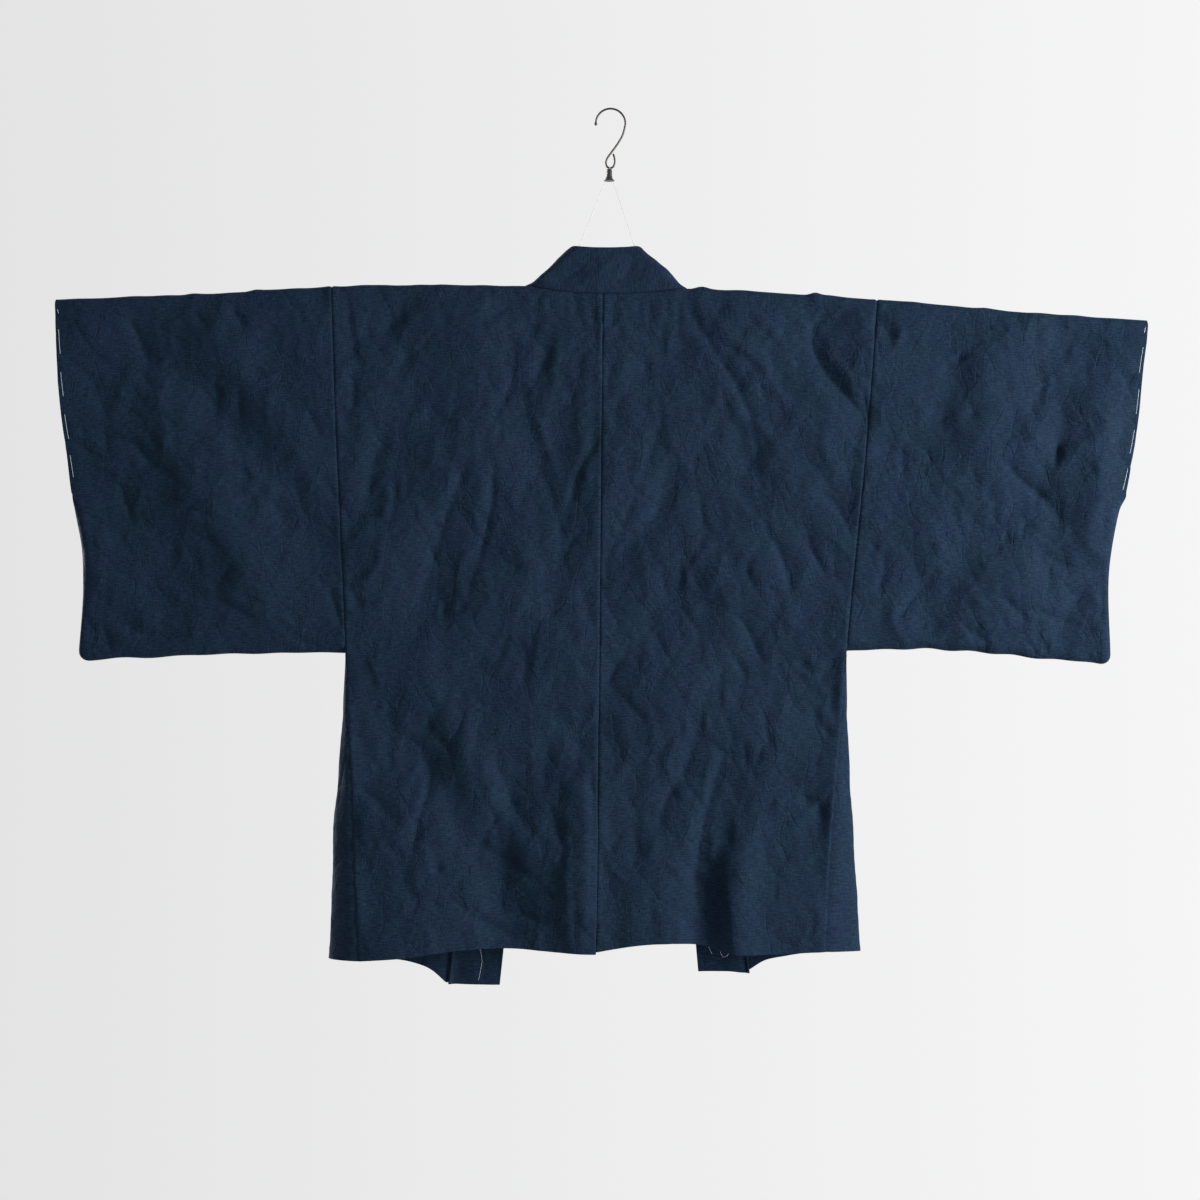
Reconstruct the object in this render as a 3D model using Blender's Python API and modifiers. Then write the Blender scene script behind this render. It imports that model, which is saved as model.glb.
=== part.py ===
"""Men's haori jacket hung flat, back outwards, on a slim rod through its sleeves, with the cords, cap
and wire hook that hold it up.

Metres, +Z up. Someone who looks at the jacket's back has +X to the right and looks along +Y, so the
back panels face -Y and the fronts hang behind them. The origin is the underside of the hook's crown.
A "drop" is a distance below that crown. Each cloth panel is a grid of columns and rows, laid on a
form that the tables below describe, with a wall of its real thickness.
"""

from math import cos, exp, hypot, pi, radians, sin, sqrt

import bmesh
import bpy
import numpy as np
from mathutils import Vector

CLOTH = 0.0016
COLLAR_CLOTH = 0.0024
SEAM_GAP = 0.0003
CORNER_GAP = 0.0009

# The fold over the rod: the radius of the cloth's middle line, and how far it runs down each side.
FOLD_RADIUS = 0.0070
FOLD_REACH = FOLD_RADIUS * pi / 2
FOLD_STEPS = 3

ROD_RADIUS = 0.0034
ROD_SLACK = 0.0005
ROD_ENDS = (-0.652, 0.632)

# Lengths of cloth from the fold to the hem, near enough to space the rows of a panel by.
BODY_DRAPE = 0.815
SLEEVE_DRAPE = 0.445
# Levels at which a panel's hem, and the front's length, are measured across.
BACK_HEM_LEVEL = 1.02
FRONT_HEM_LEVEL = 1.03
FRONT_LENGTH = 0.8

# Radius of the round closed edges of a sleeve, and of its lower outer corner.
EDGE_ROUND = 0.012
SLEEVE_CORNER = 0.020
SLEEVE_BULGE = 0.004
SLEEVE_TOP_LEVEL = 0.23
SLEEVE_WIDTH_LEVEL = 0.60
SLEEVE_HEM_LEVEL = 0.65
CUFF_FOOT = 0.462
CUFF_CLOSES_OVER = 0.022
# How far in from a closed edge the last rows and columns of a sleeve lie.
ROUND_STARTS = 0.014
ROUND_STEPS = (0.008, 0.0035, 0.001, 0)

ARMPIT = 0.6575
GUSSET_STARTS_BELOW = 0.0016
CENTRE_TOP_X = -0.0091
# How far the neckline dips at the centre back, and how flat the dip is.
NECK_DIP = 0.0112
NECK_SHAPE = 2.6

COLLAR_WIDTH_NECK = 0.0550
COLLAR_WIDTH_HEM = 0.0590
COLLAR_LEAN = 0.0010
COLLAR_BLEND = 0.025
COLLAR_RISE_SHAPE = 2.2


def table(columns, *rows):
    """A short table, as a list of values for each named column."""
    return {name: [row[i] for row in rows] for i, name in enumerate(columns)}


# Outer top line of the cloth over the bowed rod.
SHOULDER = table(
    ("x", "drop"),
    (-0.672, 0.2302),
    (-0.502, 0.2238),
    (-0.337, 0.2146),
    (-0.200, 0.2122),
    (-0.100, 0.2138),
    (0.100, 0.2168),
    (0.225, 0.2235),
    (0.322, 0.2300),
    (0.497, 0.2450),
    (0.648, 0.2556),
)

# Side edge of each back panel: the armhole down to the armpit, then the gusset's seam.
BACK_SIDE = table(
    ("drop", "left", "right"),
    (0.215, -0.3370, 0.3230),
    (0.410, -0.3300, 0.3080),
    (0.6575, -0.3190, 0.2840),
    (0.745, -0.3160, 0.2775),
    (0.810, -0.3125, 0.2715),
    (0.900, -0.3095, 0.2640),
    (1.030, -0.3030, 0.2575),
)
FRONT_SIDE = table(
    ("drop", "left", "right"),
    (0.215, -0.3370, 0.3230),
    (0.410, -0.3300, 0.3080),
    (0.6575, -0.3190, 0.2840),
    (0.810, -0.3215, 0.2825),
    (1.030, -0.3270, 0.2890),
)
GUSSET_OUTER = table(
    ("drop", "left", "right"),
    (0.6575, -0.3200, 0.2850),
    (0.745, -0.3250, 0.2868),
    (0.810, -0.3300, 0.2900),
    (0.865, -0.3355, 0.2935),
    (0.940, -0.3375, 0.2980),
    (1.030, -0.3420, 0.3040),
)
CENTRE_SEAM = table(
    ("drop", "x"), (0.221, CENTRE_TOP_X), (0.600, -0.0127), (1.022, -0.0173)
)

# How far the cloth's middle line stands from the rod's plane, by distance below the rod.
DEPTH = table(
    ("below", "back", "front"),
    (0.00, FOLD_RADIUS, FOLD_RADIUS),
    (0.06, 0.0083, 0.0083),
    (0.20, 0.0098, 0.0098),
    (0.44, 0.0092, 0.0092),
    (0.60, 0.0125, 0.0165),
    (0.82, 0.0180, 0.0270),
)

BACK_HEM = {
    "left": table(
        ("x", "drop"),
        (-0.303, 1.0270),
        (-0.245, 1.0220),
        (-0.187, 1.0150),
        (-0.132, 1.0130),
        (-0.060, 1.0172),
        (-0.017, 1.0188),
    ),
    "right": table(
        ("x", "drop"),
        (-0.017, 1.0160),
        (0.055, 1.0060),
        (0.106, 1.0085),
        (0.146, 1.0180),
        (0.185, 1.0190),
        (0.258, 1.0160),
    ),
}
FRONT_HEM = {
    "left": table(
        ("x", "drop"),
        (-0.327, 1.0270),
        (-0.263, 1.0320),
        (-0.240, 1.0360),
        (-0.215, 1.0450),
        (-0.196, 1.0600),
    ),
    "right": table(
        ("x", "drop"),
        (0.168, 1.0440),
        (0.186, 1.0330),
        (0.215, 1.0260),
        (0.289, 1.0200),
    ),
}

SLEEVE_WRIST = {
    "left": table(
        ("drop", "x"),
        (0.230, -0.6705),
        (0.302, -0.6660),
        (0.411, -0.6565),
        (0.484, -0.6470),
        (0.530, -0.6385),
        (0.575, -0.6370),
        (0.665, -0.6430),
    ),
    "right": table(
        ("drop", "x"),
        (0.255, 0.6490),
        (0.302, 0.6430),
        (0.375, 0.6370),
        (0.448, 0.6240),
        (0.500, 0.6110),
        (0.545, 0.6035),
        (0.670, 0.6040),
    ),
}
SLEEVE_BOTTOM = {
    "left": table(
        ("x", "drop"),
        (-0.642, 0.6665),
        (-0.575, 0.6625),
        (-0.450, 0.6570),
        (-0.319, 0.6560),
    ),
    "right": table(
        ("x", "drop"),
        (0.284, 0.6550),
        (0.345, 0.6515),
        (0.440, 0.6555),
        (0.604, 0.6705),
    ),
}

# Per side: the collar's diagonal fold passes this point at this angle below level, and the strip
# below it runs straight down the front. The neck corner is where the shoulder fold ends.
NECK = {
    "left": {"out": -1, "corner_x": -0.1040, "fold_x": -0.1020, "angle": 41.9},
    "right": {"out": 1, "corner_x": 0.0925, "fold_x": 0.0905, "angle": 42.4},
}
FOLD_DROP = 0.2110
STRIP_END = {"left": 1.0620, "right": 1.0485}

# The largest folds of the back: a line from head to foot, its half width, and how far the cloth
# rises out of the panel there (below zero it sinks in).
FOLDS = table(
    ("head_x", "head_drop", "foot_x", "foot_drop", "width", "rise"),
    (-0.128, 0.730, -0.108, 1.120, 0.048, -0.0090),
    (-0.040, 0.760, -0.036, 1.120, 0.022, 0.0080),
    (-0.235, 0.780, -0.262, 1.120, 0.036, 0.0070),
    (0.158, 0.750, 0.100, 1.060, 0.022, -0.0095),
    (0.146, 0.820, 0.165, 1.120, 0.022, 0.0090),
    (0.045, 0.780, 0.058, 1.120, 0.034, 0.0060),
    (0.252, 0.240, 0.300, 0.420, 0.022, -0.0035),
    (-0.120, 0.340, -0.230, 0.640, 0.034, -0.0035),
    (0.095, 0.420, -0.010, 0.620, 0.030, -0.0030),
    (-0.285, 0.690, -0.110, 0.985, 0.026, -0.0065),
    (-0.245, 0.655, -0.070, 0.945, 0.026, 0.0060),
    (-0.600, 0.300, -0.400, 0.620, 0.029, 0.0078),
    (-0.555, 0.262, -0.330, 0.560, 0.026, -0.0070),
    (-0.500, 0.240, -0.350, 0.450, 0.024, 0.0055),
    (-0.630, 0.400, -0.540, 0.620, 0.026, -0.0055),
    (0.470, 0.520, 0.520, 0.620, 0.032, 0.0045),
    (0.612, 0.300, 0.562, 0.560, 0.022, 0.0068),
    (0.569, 0.280, 0.500, 0.500, 0.024, -0.0065),
    (0.500, 0.250, 0.430, 0.430, 0.030, 0.0045),
    (0.440, 0.250, 0.372, 0.440, 0.026, -0.0045),
    (0.400, 0.470, 0.340, 0.640, 0.026, 0.0040),
)

CORD_RADIUS = 0.0005
CORD_TURNS = 1.25
CORD_TURN_STEPS = 10
CORDS = {
    "left": {"out": -1, "top_x": -0.0062, "lip_x": -0.0375, "rod_x": -0.0530},
    "right": {"out": 1, "top_x": 0.0034, "lip_x": 0.0295, "rod_x": 0.0440},
}
COLLAR_LIP_DROP = 0.166

CAP_X = -0.0015
CAP_TOP_DROP = 0.0722
CAP_FOOT_DROP = 0.0863
CAP_PROFILE = table(
    ("radius", "drop"),
    (0.0, CAP_TOP_DROP),
    (0.0026, CAP_TOP_DROP),
    (0.0033, 0.0730),
    (0.0034, 0.0800),
    (0.0041, 0.0832),
    (0.0063, 0.0858),
    (0.0060, CAP_FOOT_DROP),
    (0.0, CAP_FOOT_DROP),
)
CAP_SIDES = 20

WIRE_RADIUS = 0.0012
HOOK_RADIUS = 0.0178
HOOK_CENTRE_DROP = HOOK_RADIUS - WIRE_RADIUS
HOOK_ARC = (180.0, -12.0)
HOOK_ARC_STEPS = 14
# The wire below the arc: in to the middle, and once round the eye.
HOOK_SHANK = table(
    ("x", "drop"),
    (0.0143, 0.0315),
    (0.0079, 0.0424),
    (0.0018, 0.0508),
    (-0.0040, 0.0590),
    (-0.0056, 0.0645),
    (-0.0040, 0.0692),
    (-0.0004, 0.0706),
    (0.0033, 0.0690),
    (0.0049, 0.0644),
    (0.0047, 0.0590),
    (0.0033, 0.0536),
)
HOOK_TIP_SWELL = (0.35, 1.15, 1.55, 1.65, 1.45, 1.0)

THREAD_RADIUS = 0.00045
THREAD_BEND = 0.0020
THREAD_X = -0.0010

NAVY = (0.017, 0.031, 0.053)


def smooth(t):
    """0 below 0, 1 above 1, and an even S between."""
    t = min(max(t, 0.0), 1.0)
    return t * t * (3 - 2 * t)


def lerp(a, b, t):
    return a + (b - a) * t


def curve(rows, given, wanted):
    """The smooth curve through two columns of a table, as a function that holds its end values."""
    xs, ys = np.array(rows[given]), np.array(rows[wanted])
    slopes = np.gradient(ys, xs)

    def at(x):
        x = min(max(x, xs[0]), xs[-1])
        i = min(int(np.searchsorted(xs, x, side="right")) - 1, len(xs) - 2)
        step = xs[i + 1] - xs[i]
        t = (x - xs[i]) / step
        value = (2 * t**3 - 3 * t**2 + 1) * ys[i] + (3 * t**2 - 2 * t**3) * ys[i + 1]
        value += (t**3 - 2 * t**2 + t) * step * slopes[i] + (t**3 - t**2) * step * slopes[i + 1]
        return float(value)

    return at


shoulder_drop = curve(SHOULDER, "x", "drop")
centre_seam_x = curve(CENTRE_SEAM, "drop", "x")
back_depth = curve(DEPTH, "below", "back")
front_depth = curve(DEPTH, "below", "front")


def axis_drop(x):
    """Where the fold's middle line turns from round to straight, at the shoulder above x."""
    return shoulder_drop(x) + CLOTH / 2 + FOLD_RADIUS


def fold_rise(x, drop):
    """How far the large folds lift the back out of its plain form."""
    rise = 0.0
    for i in range(len(FOLDS["rise"])):
        run_x = FOLDS["foot_x"][i] - FOLDS["head_x"][i]
        run_drop = FOLDS["foot_drop"][i] - FOLDS["head_drop"][i]
        length = hypot(run_x, run_drop)
        off_x = x - FOLDS["head_x"][i]
        off_drop = drop - FOLDS["head_drop"][i]
        along = (off_x * run_x + off_drop * run_drop) / length**2
        aside = (off_x * run_drop - off_drop * run_x) / length
        ends = smooth((along + 0.1) / 0.5) * smooth((1.1 - along) / 0.3)
        rise += FOLDS["rise"][i] * ends * exp(-((aside / FOLDS["width"][i]) ** 2))
    return rise


def back_y(x, drop, top_drop):
    return -back_depth(drop - top_drop) - fold_rise(x, drop)


def front_y(drop, top_drop):
    return front_depth(drop - top_drop)


def hang(x, length, top_drop, front, y_share=1.0):
    """The point at a length of cloth down from the top of the fold, on the back or the front."""
    if length < FOLD_REACH:
        turn = length / FOLD_RADIUS
        y = FOLD_RADIUS * sin(turn) * (1 if front else -1)
        drop = top_drop - FOLD_RADIUS * cos(turn)
    else:
        drop = top_drop + length - FOLD_REACH
        y = front_y(drop, top_drop) if front else back_y(x, drop, top_drop)
    return Vector((x, y * y_share, -drop))


def material(name, colour, roughness, metallic=0.0):
    finish = bpy.data.materials.new(name)
    finish.use_nodes = True
    shader = finish.node_tree.nodes["Principled BSDF"]
    shader.inputs["Base Color"].default_value = (*colour, 1.0)
    shader.inputs["Roughness"].default_value = roughness
    shader.inputs["Metallic"].default_value = metallic
    return finish


def add(name, data, finish):
    """A new object in the jacket's collection."""
    made = bpy.data.objects.new(name, data)
    data.materials.append(finish)
    bpy.data.collections["haori_jacket"].objects.link(made)
    return made


def cloth(name, columns, rows, place, wall, colour, cut=None):
    """A panel: a grid with a corner at place(column, row) for each column and row, and its wall.
    cut(column number, row number) is true where the panel is cut away."""
    bm = bmesh.new()
    bmesh.ops.create_grid(
        bm, x_segments=len(columns) - 1, y_segments=len(rows) - 1, size=1
    )
    waste = []
    for corner in bm.verts:
        column = round((corner.co.x + 1) / 2 * (len(columns) - 1))
        row = round((corner.co.y + 1) / 2 * (len(rows) - 1))
        if cut and cut(column, row):
            waste.append(corner)
        corner.co = place(columns[column], rows[row])
    bmesh.ops.delete(bm, geom=waste, context="VERTS")
    bmesh.ops.remove_doubles(bm, verts=bm.verts[:], dist=0.00002)
    bmesh.ops.recalc_face_normals(bm, faces=bm.faces[:])
    mesh = bpy.data.meshes.new(name)
    bm.to_mesh(mesh)
    bm.free()
    panel = add(name, mesh, material(name + "_cloth", colour, 0.85))
    shell = panel.modifiers.new("wall", "SOLIDIFY")
    shell.thickness = wall
    shell.offset = 0
    return panel


def spread(start, end, count):
    return [lerp(start, end, i / count) for i in range(1, count + 1)]


# Rows of a panel, as lengths of cloth from the top of the fold.
FOLD_ROWS = [FOLD_REACH * i / FOLD_STEPS for i in range(FOLD_STEPS + 1)]


def body(side):
    """Back, shoulder and front of one side, in one length of cloth. Each column is a place between
    the side edge and the neck corner (0 to 1), or between the corner and the centre back (1 to 2);
    the front has no more than the first. Rows below 0 are the back."""
    neck = NECK[side]
    out, corner_x = neck["out"], neck["corner_x"]
    back_side = curve(BACK_SIDE, "drop", side)
    front_side = curve(FRONT_SIDE, "drop", side)
    back_hem = curve(BACK_HEM[side], "x", "drop")
    front_hem = curve(FRONT_HEM[side], "x", "drop")
    shoulder_x = BACK_SIDE[side][0]
    shoulder_share = (corner_x - shoulder_x) / (CENTRE_TOP_X - shoulder_x)

    def back_x(column, drop):
        share = column * shoulder_share if column < 1 else lerp(shoulder_share, 1, column - 1)
        centre = centre_seam_x(drop) + out * SEAM_GAP / 2
        return lerp(back_side(drop), centre, share)

    def front_x(column, drop, length):
        edge = corner_x + out * length / np.tan(2 * radians(neck["angle"]))
        return lerp(front_side(drop), edge, column)

    def place(column, row):
        top_x = back_x(column, axis_drop(corner_x))
        top_drop = axis_drop(top_x)
        if row <= 0:
            hem_x = back_x(column, BACK_HEM_LEVEL)
            cut_away = NECK_DIP * (1 - (2 - column) ** NECK_SHAPE) if column > 1 else 0
            whole = back_hem(hem_x) - top_drop + FOLD_REACH
            length = lerp(cut_away, whole, -row)
            x = back_x(column, top_drop + max(length - FOLD_REACH, 0))
            return hang(x, length, top_drop, front=False)
        hem_x = front_x(column, FRONT_HEM_LEVEL, FRONT_LENGTH)
        whole = front_hem(hem_x) - top_drop + FOLD_REACH
        length = whole * row
        x = front_x(column, top_drop + max(length - FOLD_REACH, 0), length)
        return hang(x, length, top_drop, front=True)

    fold = [length / BODY_DRAPE for length in FOLD_ROWS]
    down = spread(fold[-1], 1, 15)
    down_front = spread(fold[-1], 1, 11)
    rows = [-row for row in reversed(down)] + [-row for row in reversed(fold)]
    rows += fold[1:] + down_front
    top_row = rows.index(-0.0)
    columns = [0] + spread(0, 1, 9) + spread(1, 2, 5)
    corner_column = columns.index(1)
    return cloth(
        "body_" + side,
        columns,
        rows,
        place,
        CLOTH,
        NAVY,
        cut=lambda column, row: column > corner_column and row > top_row,
    )


def sleeve(side):
    """A folded length sewn shut along the bottom and the lower wrist edge. Columns run from the
    armhole (0) to the wrist (1). Rows go round it, from the bottom seam up the back, over the fold
    (0) and down the front."""
    out = NECK[side]["out"]
    armhole = curve(BACK_SIDE, "drop", side)
    wrist = curve(SLEEVE_WRIST[side], "drop", "x")
    bottom = curve(SLEEVE_BOTTOM[side], "x", "drop")
    width = abs(wrist(SLEEVE_WIDTH_LEVEL) - armhole(SLEEVE_WIDTH_LEVEL))

    def across(column, drop):
        return lerp(armhole(drop) + out * SEAM_GAP, wrist(drop), column)

    def rounded(inset, reach):
        """A closed edge's share of the full depth, at an inset from it."""
        return sqrt(1 - (1 - min(inset / reach, 1)) ** 2)

    def place(column, row):
        top_drop = axis_drop(across(column, SLEEVE_TOP_LEVEL))
        foot = bottom(across(column, SLEEVE_HEM_LEVEL))
        inset = (1 - column) * width
        corner = SLEEVE_CORNER - sqrt(SLEEVE_CORNER**2 - max(SLEEVE_CORNER - inset, 0) ** 2)
        whole = foot - corner - top_drop + FOLD_REACH
        length = whole * abs(row)
        drop = top_drop + max(length - FOLD_REACH, 0)
        share = rounded(whole - length, EDGE_ROUND)
        shut = smooth((drop - CUFF_FOOT) / CUFF_CLOSES_OVER)
        share *= lerp(1, rounded(inset, EDGE_ROUND), shut)
        point = hang(across(column, drop), length, top_drop, row > 0, share)
        bulge = SLEEVE_BULGE * sin(pi * column) * sin(pi * length / whole) * share
        point.y += bulge if row > 0 else -bulge
        return point

    fold = [length / SLEEVE_DRAPE for length in FOLD_ROWS]
    hem = [1 - inset / SLEEVE_DRAPE for inset in (ROUND_STARTS, *ROUND_STEPS)]
    cuff_length = CUFF_FOOT - SLEEVE_TOP_LEVEL + FOLD_REACH
    cuff = [(cuff_length + step * CUFF_CLOSES_OVER) / SLEEVE_DRAPE for step in (0, 0.5, 1)]
    down = spread(fold[-1], cuff[0], 4) + cuff[1:] + spread(cuff[2], hem[0], 3) + hem[1:]
    ring = [-row for row in reversed(down)] + [-row for row in reversed(fold)] + fold[1:] + down
    columns = [0] + spread(0, 1 - ROUND_STARTS / width, 6)
    columns += [1 - inset / width for inset in ROUND_STEPS]
    return cloth("sleeve_" + side, columns, ring, place, CLOTH, NAVY)


def gusset(side):
    """The side wedge, bowed outwards between the back's edge (column 0) and the front's (1)."""
    out = NECK[side]["out"]
    back_side = curve(BACK_SIDE, "drop", side)
    front_side = curve(FRONT_SIDE, "drop", side)
    outer = curve(GUSSET_OUTER, "drop", side)
    top_drop = axis_drop(BACK_SIDE[side][0])
    hem = (BACK_HEM[side]["drop"], FRONT_HEM[side]["drop"])
    hem = (hem[0][0], hem[1][0]) if side == "left" else (hem[0][-1], hem[1][-1])

    def place(column, row):
        drop = lerp(ARMPIT + GUSSET_STARTS_BELOW, lerp(hem[0], hem[1], column), row)
        back = Vector((back_side(drop), back_y(back_side(drop), drop, top_drop), -drop))
        front = Vector((front_side(drop), front_y(drop, top_drop), -drop))
        inset = CORNER_GAP / (front - back).length
        share = lerp(inset, 1 - inset, column)
        point = back.lerp(front, share)
        bow = outer(drop) - lerp(back.x, front.x, 0.55) - out * CLOTH / 2
        point.x += max(bow * out, 0) * out * 4 * share * (1 - share)
        return point

    columns = [0] + spread(0, 1, 4)
    rows = [0] + spread(0, 1, 10)
    return cloth("gusset_" + side, columns, rows, place, CLOTH, NAVY)


def neck_edge(side, along):
    """Where the collar is sewn on, at a length of collar seam from the centre back."""
    neck = NECK[side]
    out = neck["out"]
    corner_along = abs(neck["fold_x"] - CENTRE_TOP_X)
    if along < corner_along:
        share = along / corner_along
        x = lerp(CENTRE_TOP_X, neck["corner_x"], share)
        return hang(x, NECK_DIP * (1 - share**NECK_SHAPE), axis_drop(x), front=False)
    turn = 2 * radians(neck["angle"])
    length = (along - corner_along) * sin(turn)
    x = neck["corner_x"] + out * (along - corner_along) * cos(turn)
    return hang(x, length, axis_drop(neck["corner_x"]), front=True)


def folded_strip(side, along, across):
    """The collar as a flat strip folded round its diagonal: its seam edge (across 0) runs level from
    the centre back, and everything past the fold line turns over and runs down the front."""
    neck = NECK[side]
    out, angle = neck["out"], radians(neck["angle"])
    corner_along = abs(neck["fold_x"] - CENTRE_TOP_X)
    line = Vector((out * cos(angle), -sin(angle)))
    beyond = Vector((out * sin(angle), cos(angle)))
    centre_drop = -neck_edge(side, 0).z
    rise = (centre_drop - FOLD_DROP) * min(along / corner_along, 1) ** COLLAR_RISE_SHAPE
    flat = Vector((CENTRE_TOP_X + out * along, -centre_drop + rise + across))
    if along > corner_along:
        flat.y = -FOLD_DROP + across
    off = flat - Vector((neck["fold_x"], -FOLD_DROP))
    past = off.dot(beyond) + FOLD_REACH
    turn = min(max(past / FOLD_RADIUS, 0), pi)
    if past < 0:
        past_place = past - FOLD_REACH
    else:
        past_place = FOLD_RADIUS * sin(turn) - FOLD_REACH - max(past - pi * FOLD_RADIUS, 0)
    place = Vector((neck["fold_x"], -FOLD_DROP)) + line * off.dot(line) + beyond * past_place
    top_drop = axis_drop(neck["corner_x"])
    behind = front_y(max(-place.y, top_drop), top_drop) - FOLD_RADIUS
    y = -FOLD_RADIUS * cos(turn) + behind * (1 - cos(turn)) / 2
    y += COLLAR_LEAN * max(place.y + centre_drop, 0) / COLLAR_WIDTH_NECK
    return Vector((place.x, y, place.y))


def collar_point(side, along, share):
    """share goes from the seam edge (0) to the free edge (1)."""
    corner_along = abs(NECK[side]["fold_x"] - CENTRE_TOP_X)
    width = lerp(COLLAR_WIDTH_NECK, COLLAR_WIDTH_HEM, smooth(along / 0.3))
    gap = SEAM_GAP + CORNER_GAP * exp(-(((along - corner_along) / 0.022) ** 2))
    across = lerp(gap, width, share)
    point = folded_strip(side, along, across)
    sewn = neck_edge(side, along) - folded_strip(side, along, 0)
    return point + sewn * (1 - smooth(across / COLLAR_BLEND))


def collar():
    """One strip from front hem to front hem. A row is a cut across it: its side, its length from
    the centre back at the seam edge, and how far it slants by the free edge."""

    def half(side):
        neck = NECK[side]
        angle = radians(neck["angle"])
        corner_along = abs(neck["fold_x"] - CENTRE_TOP_X)
        fold_slant = -1 / np.tan(angle)
        reach = FOLD_REACH / sin(angle)
        down = STRIP_END[side] - axis_drop(neck["corner_x"]) + FOLD_REACH
        end = corner_along + down / sin(2 * angle)
        end_slant = -cos(2 * angle)
        rows = [(side, corner_along * 0.36, fold_slant * 0.38)]
        rows += [
            (side, corner_along + reach * step, fold_slant)
            for step in (-1.15, -1, -0.6, -0.2, 0.2, 0.6, 1, 1.3)
        ]
        start = corner_along + reach * 1.3
        slants = (0.86, 0.6, 0.35, 0.15)
        rows += [
            (side, start + 0.028 * (i + 1), lerp(end_slant, fold_slant, slant))
            for i, slant in enumerate(slants)
        ]
        rows += [(side, along, end_slant) for along in spread(rows[-1][1], end, 11)]
        return rows

    rows = half("left")[::-1] + [("left", 0.0, 0.0)] + half("right")

    def place(column, row):
        side, along, slant = row
        return collar_point(side, along + slant * column * COLLAR_WIDTH_NECK, column)

    columns = [0, 0.22, 0.5, 1]
    return cloth("collar", columns, rows, place, COLLAR_CLOTH, NAVY)


def tube(name, points, radius, finish, swell=(), resolution=2):
    """A round wire, cord or rod along the points. swell scales the radius of the first few."""
    data = bpy.data.curves.new(name, "CURVE")
    data.dimensions = "3D"
    data.bevel_depth = radius
    data.bevel_resolution = resolution
    data.use_fill_caps = True
    run = data.splines.new("POLY")
    run.points.add(len(points) - 1)
    for i, (spot, point) in enumerate(zip(run.points, points)):
        spot.co = (*point, 1)
        spot.radius = swell[i] if i < len(swell) else 1
    return add(name, data, finish)


def smooth_run(stations, steps):
    """Points along the smooth curve through the stations, steps to each stretch."""
    stations = [Vector(station) for station in stations]
    stretched = [stations[0] * 2 - stations[1]] + stations + [stations[-1] * 2 - stations[-2]]
    run = []
    for a, b, c, d in zip(stretched, stretched[1:], stretched[2:], stretched[3:]):
        for i in range(steps):
            t = i / steps
            run.append(
                0.5 * (2 * b + (c - a) * t + (2 * a - 5 * b + 4 * c - d) * t**2)
                + 0.5 * (3 * b - 3 * c + d - a) * t**3
            )
    return run + [stations[-1]]


def rod_drop(x):
    """The rod's axis: it lies in the top of the fold."""
    return shoulder_drop(x) + CLOTH + ROD_SLACK + ROD_RADIUS


def rod():
    steps = 18
    line = [lerp(*ROD_ENDS, i / steps) for i in range(steps + 1)]
    points = [(x, 0, -rod_drop(x)) for x in line]
    finish = material("rod_wood", (0.36, 0.25, 0.14), 0.5)
    return tube("rod", points, ROD_RADIUS, finish, resolution=3)


def cord(side):
    """From under the cap, past the collar's top corner, down to the rod and round it."""
    run = CORDS[side]
    wrap = ROD_RADIUS + SEAM_GAP + CORD_RADIUS
    level = rod_drop(run["rod_x"])
    straight = smooth_run(
        [
            (run["top_x"], 0, -(CAP_FOOT_DROP + 0.0006)),
            (run["lip_x"], -0.0012, -COLLAR_LIP_DROP),
            (run["rod_x"], -wrap, -(level - 0.004)),
        ],
        4,
    )
    turns = []
    for i in range(int(CORD_TURNS * CORD_TURN_STEPS) + 1):
        turn = 2 * pi * i / CORD_TURN_STEPS
        x = run["rod_x"] + run["out"] * (0.0008 + 0.0015 * i / CORD_TURN_STEPS)
        turns.append((x, -wrap * cos(turn), -(level + wrap * sin(turn))))
    finish = material("cord_" + side + "_fibre", (0.55, 0.53, 0.48), 0.6)
    return tube("cord_" + side, straight + turns, CORD_RADIUS, finish)


def cap():
    mesh = bpy.data.meshes.new("cap")
    bm = bmesh.new()
    rim = [
        bm.verts.new((radius, 0, -drop))
        for radius, drop in zip(CAP_PROFILE["radius"], CAP_PROFILE["drop"])
    ]
    for upper, lower in zip(rim, rim[1:]):
        bm.edges.new((upper, lower))
    bm.to_mesh(mesh)
    bm.free()
    made = add("cap", mesh, material("cap_plastic", (0.012, 0.012, 0.013), 0.4))
    made.location.x = CAP_X
    turned = made.modifiers.new("turned", "SCREW")
    turned.steps = CAP_SIDES
    turned.render_steps = CAP_SIDES
    turned.use_merge_vertices = True
    turned.merge_threshold = 0.0001
    return made


def hook():
    arc = []
    for i in range(HOOK_ARC_STEPS + 1):
        angle = radians(lerp(*HOOK_ARC, i / HOOK_ARC_STEPS))
        arc.append((HOOK_RADIUS * cos(angle), 0, HOOK_RADIUS * sin(angle) - HOOK_CENTRE_DROP))
    tip = Vector(arc[0])
    ball = [tip + Vector((0, 0, -back)) for back in (0.0024, 0.0021, 0.0015, 0.0009, 0.0003)]
    shank = [(x, 0, -drop) for x, drop in zip(HOOK_SHANK["x"], HOOK_SHANK["drop"])]
    run = smooth_run([arc[-2], arc[-1], *shank], 2)
    finish = material("hook_steel", (0.16, 0.14, 0.12), 0.38, 0.9)
    return tube("hook", ball + arc[:-2] + run, WIRE_RADIUS, finish, HOOK_TIP_SWELL)


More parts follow.
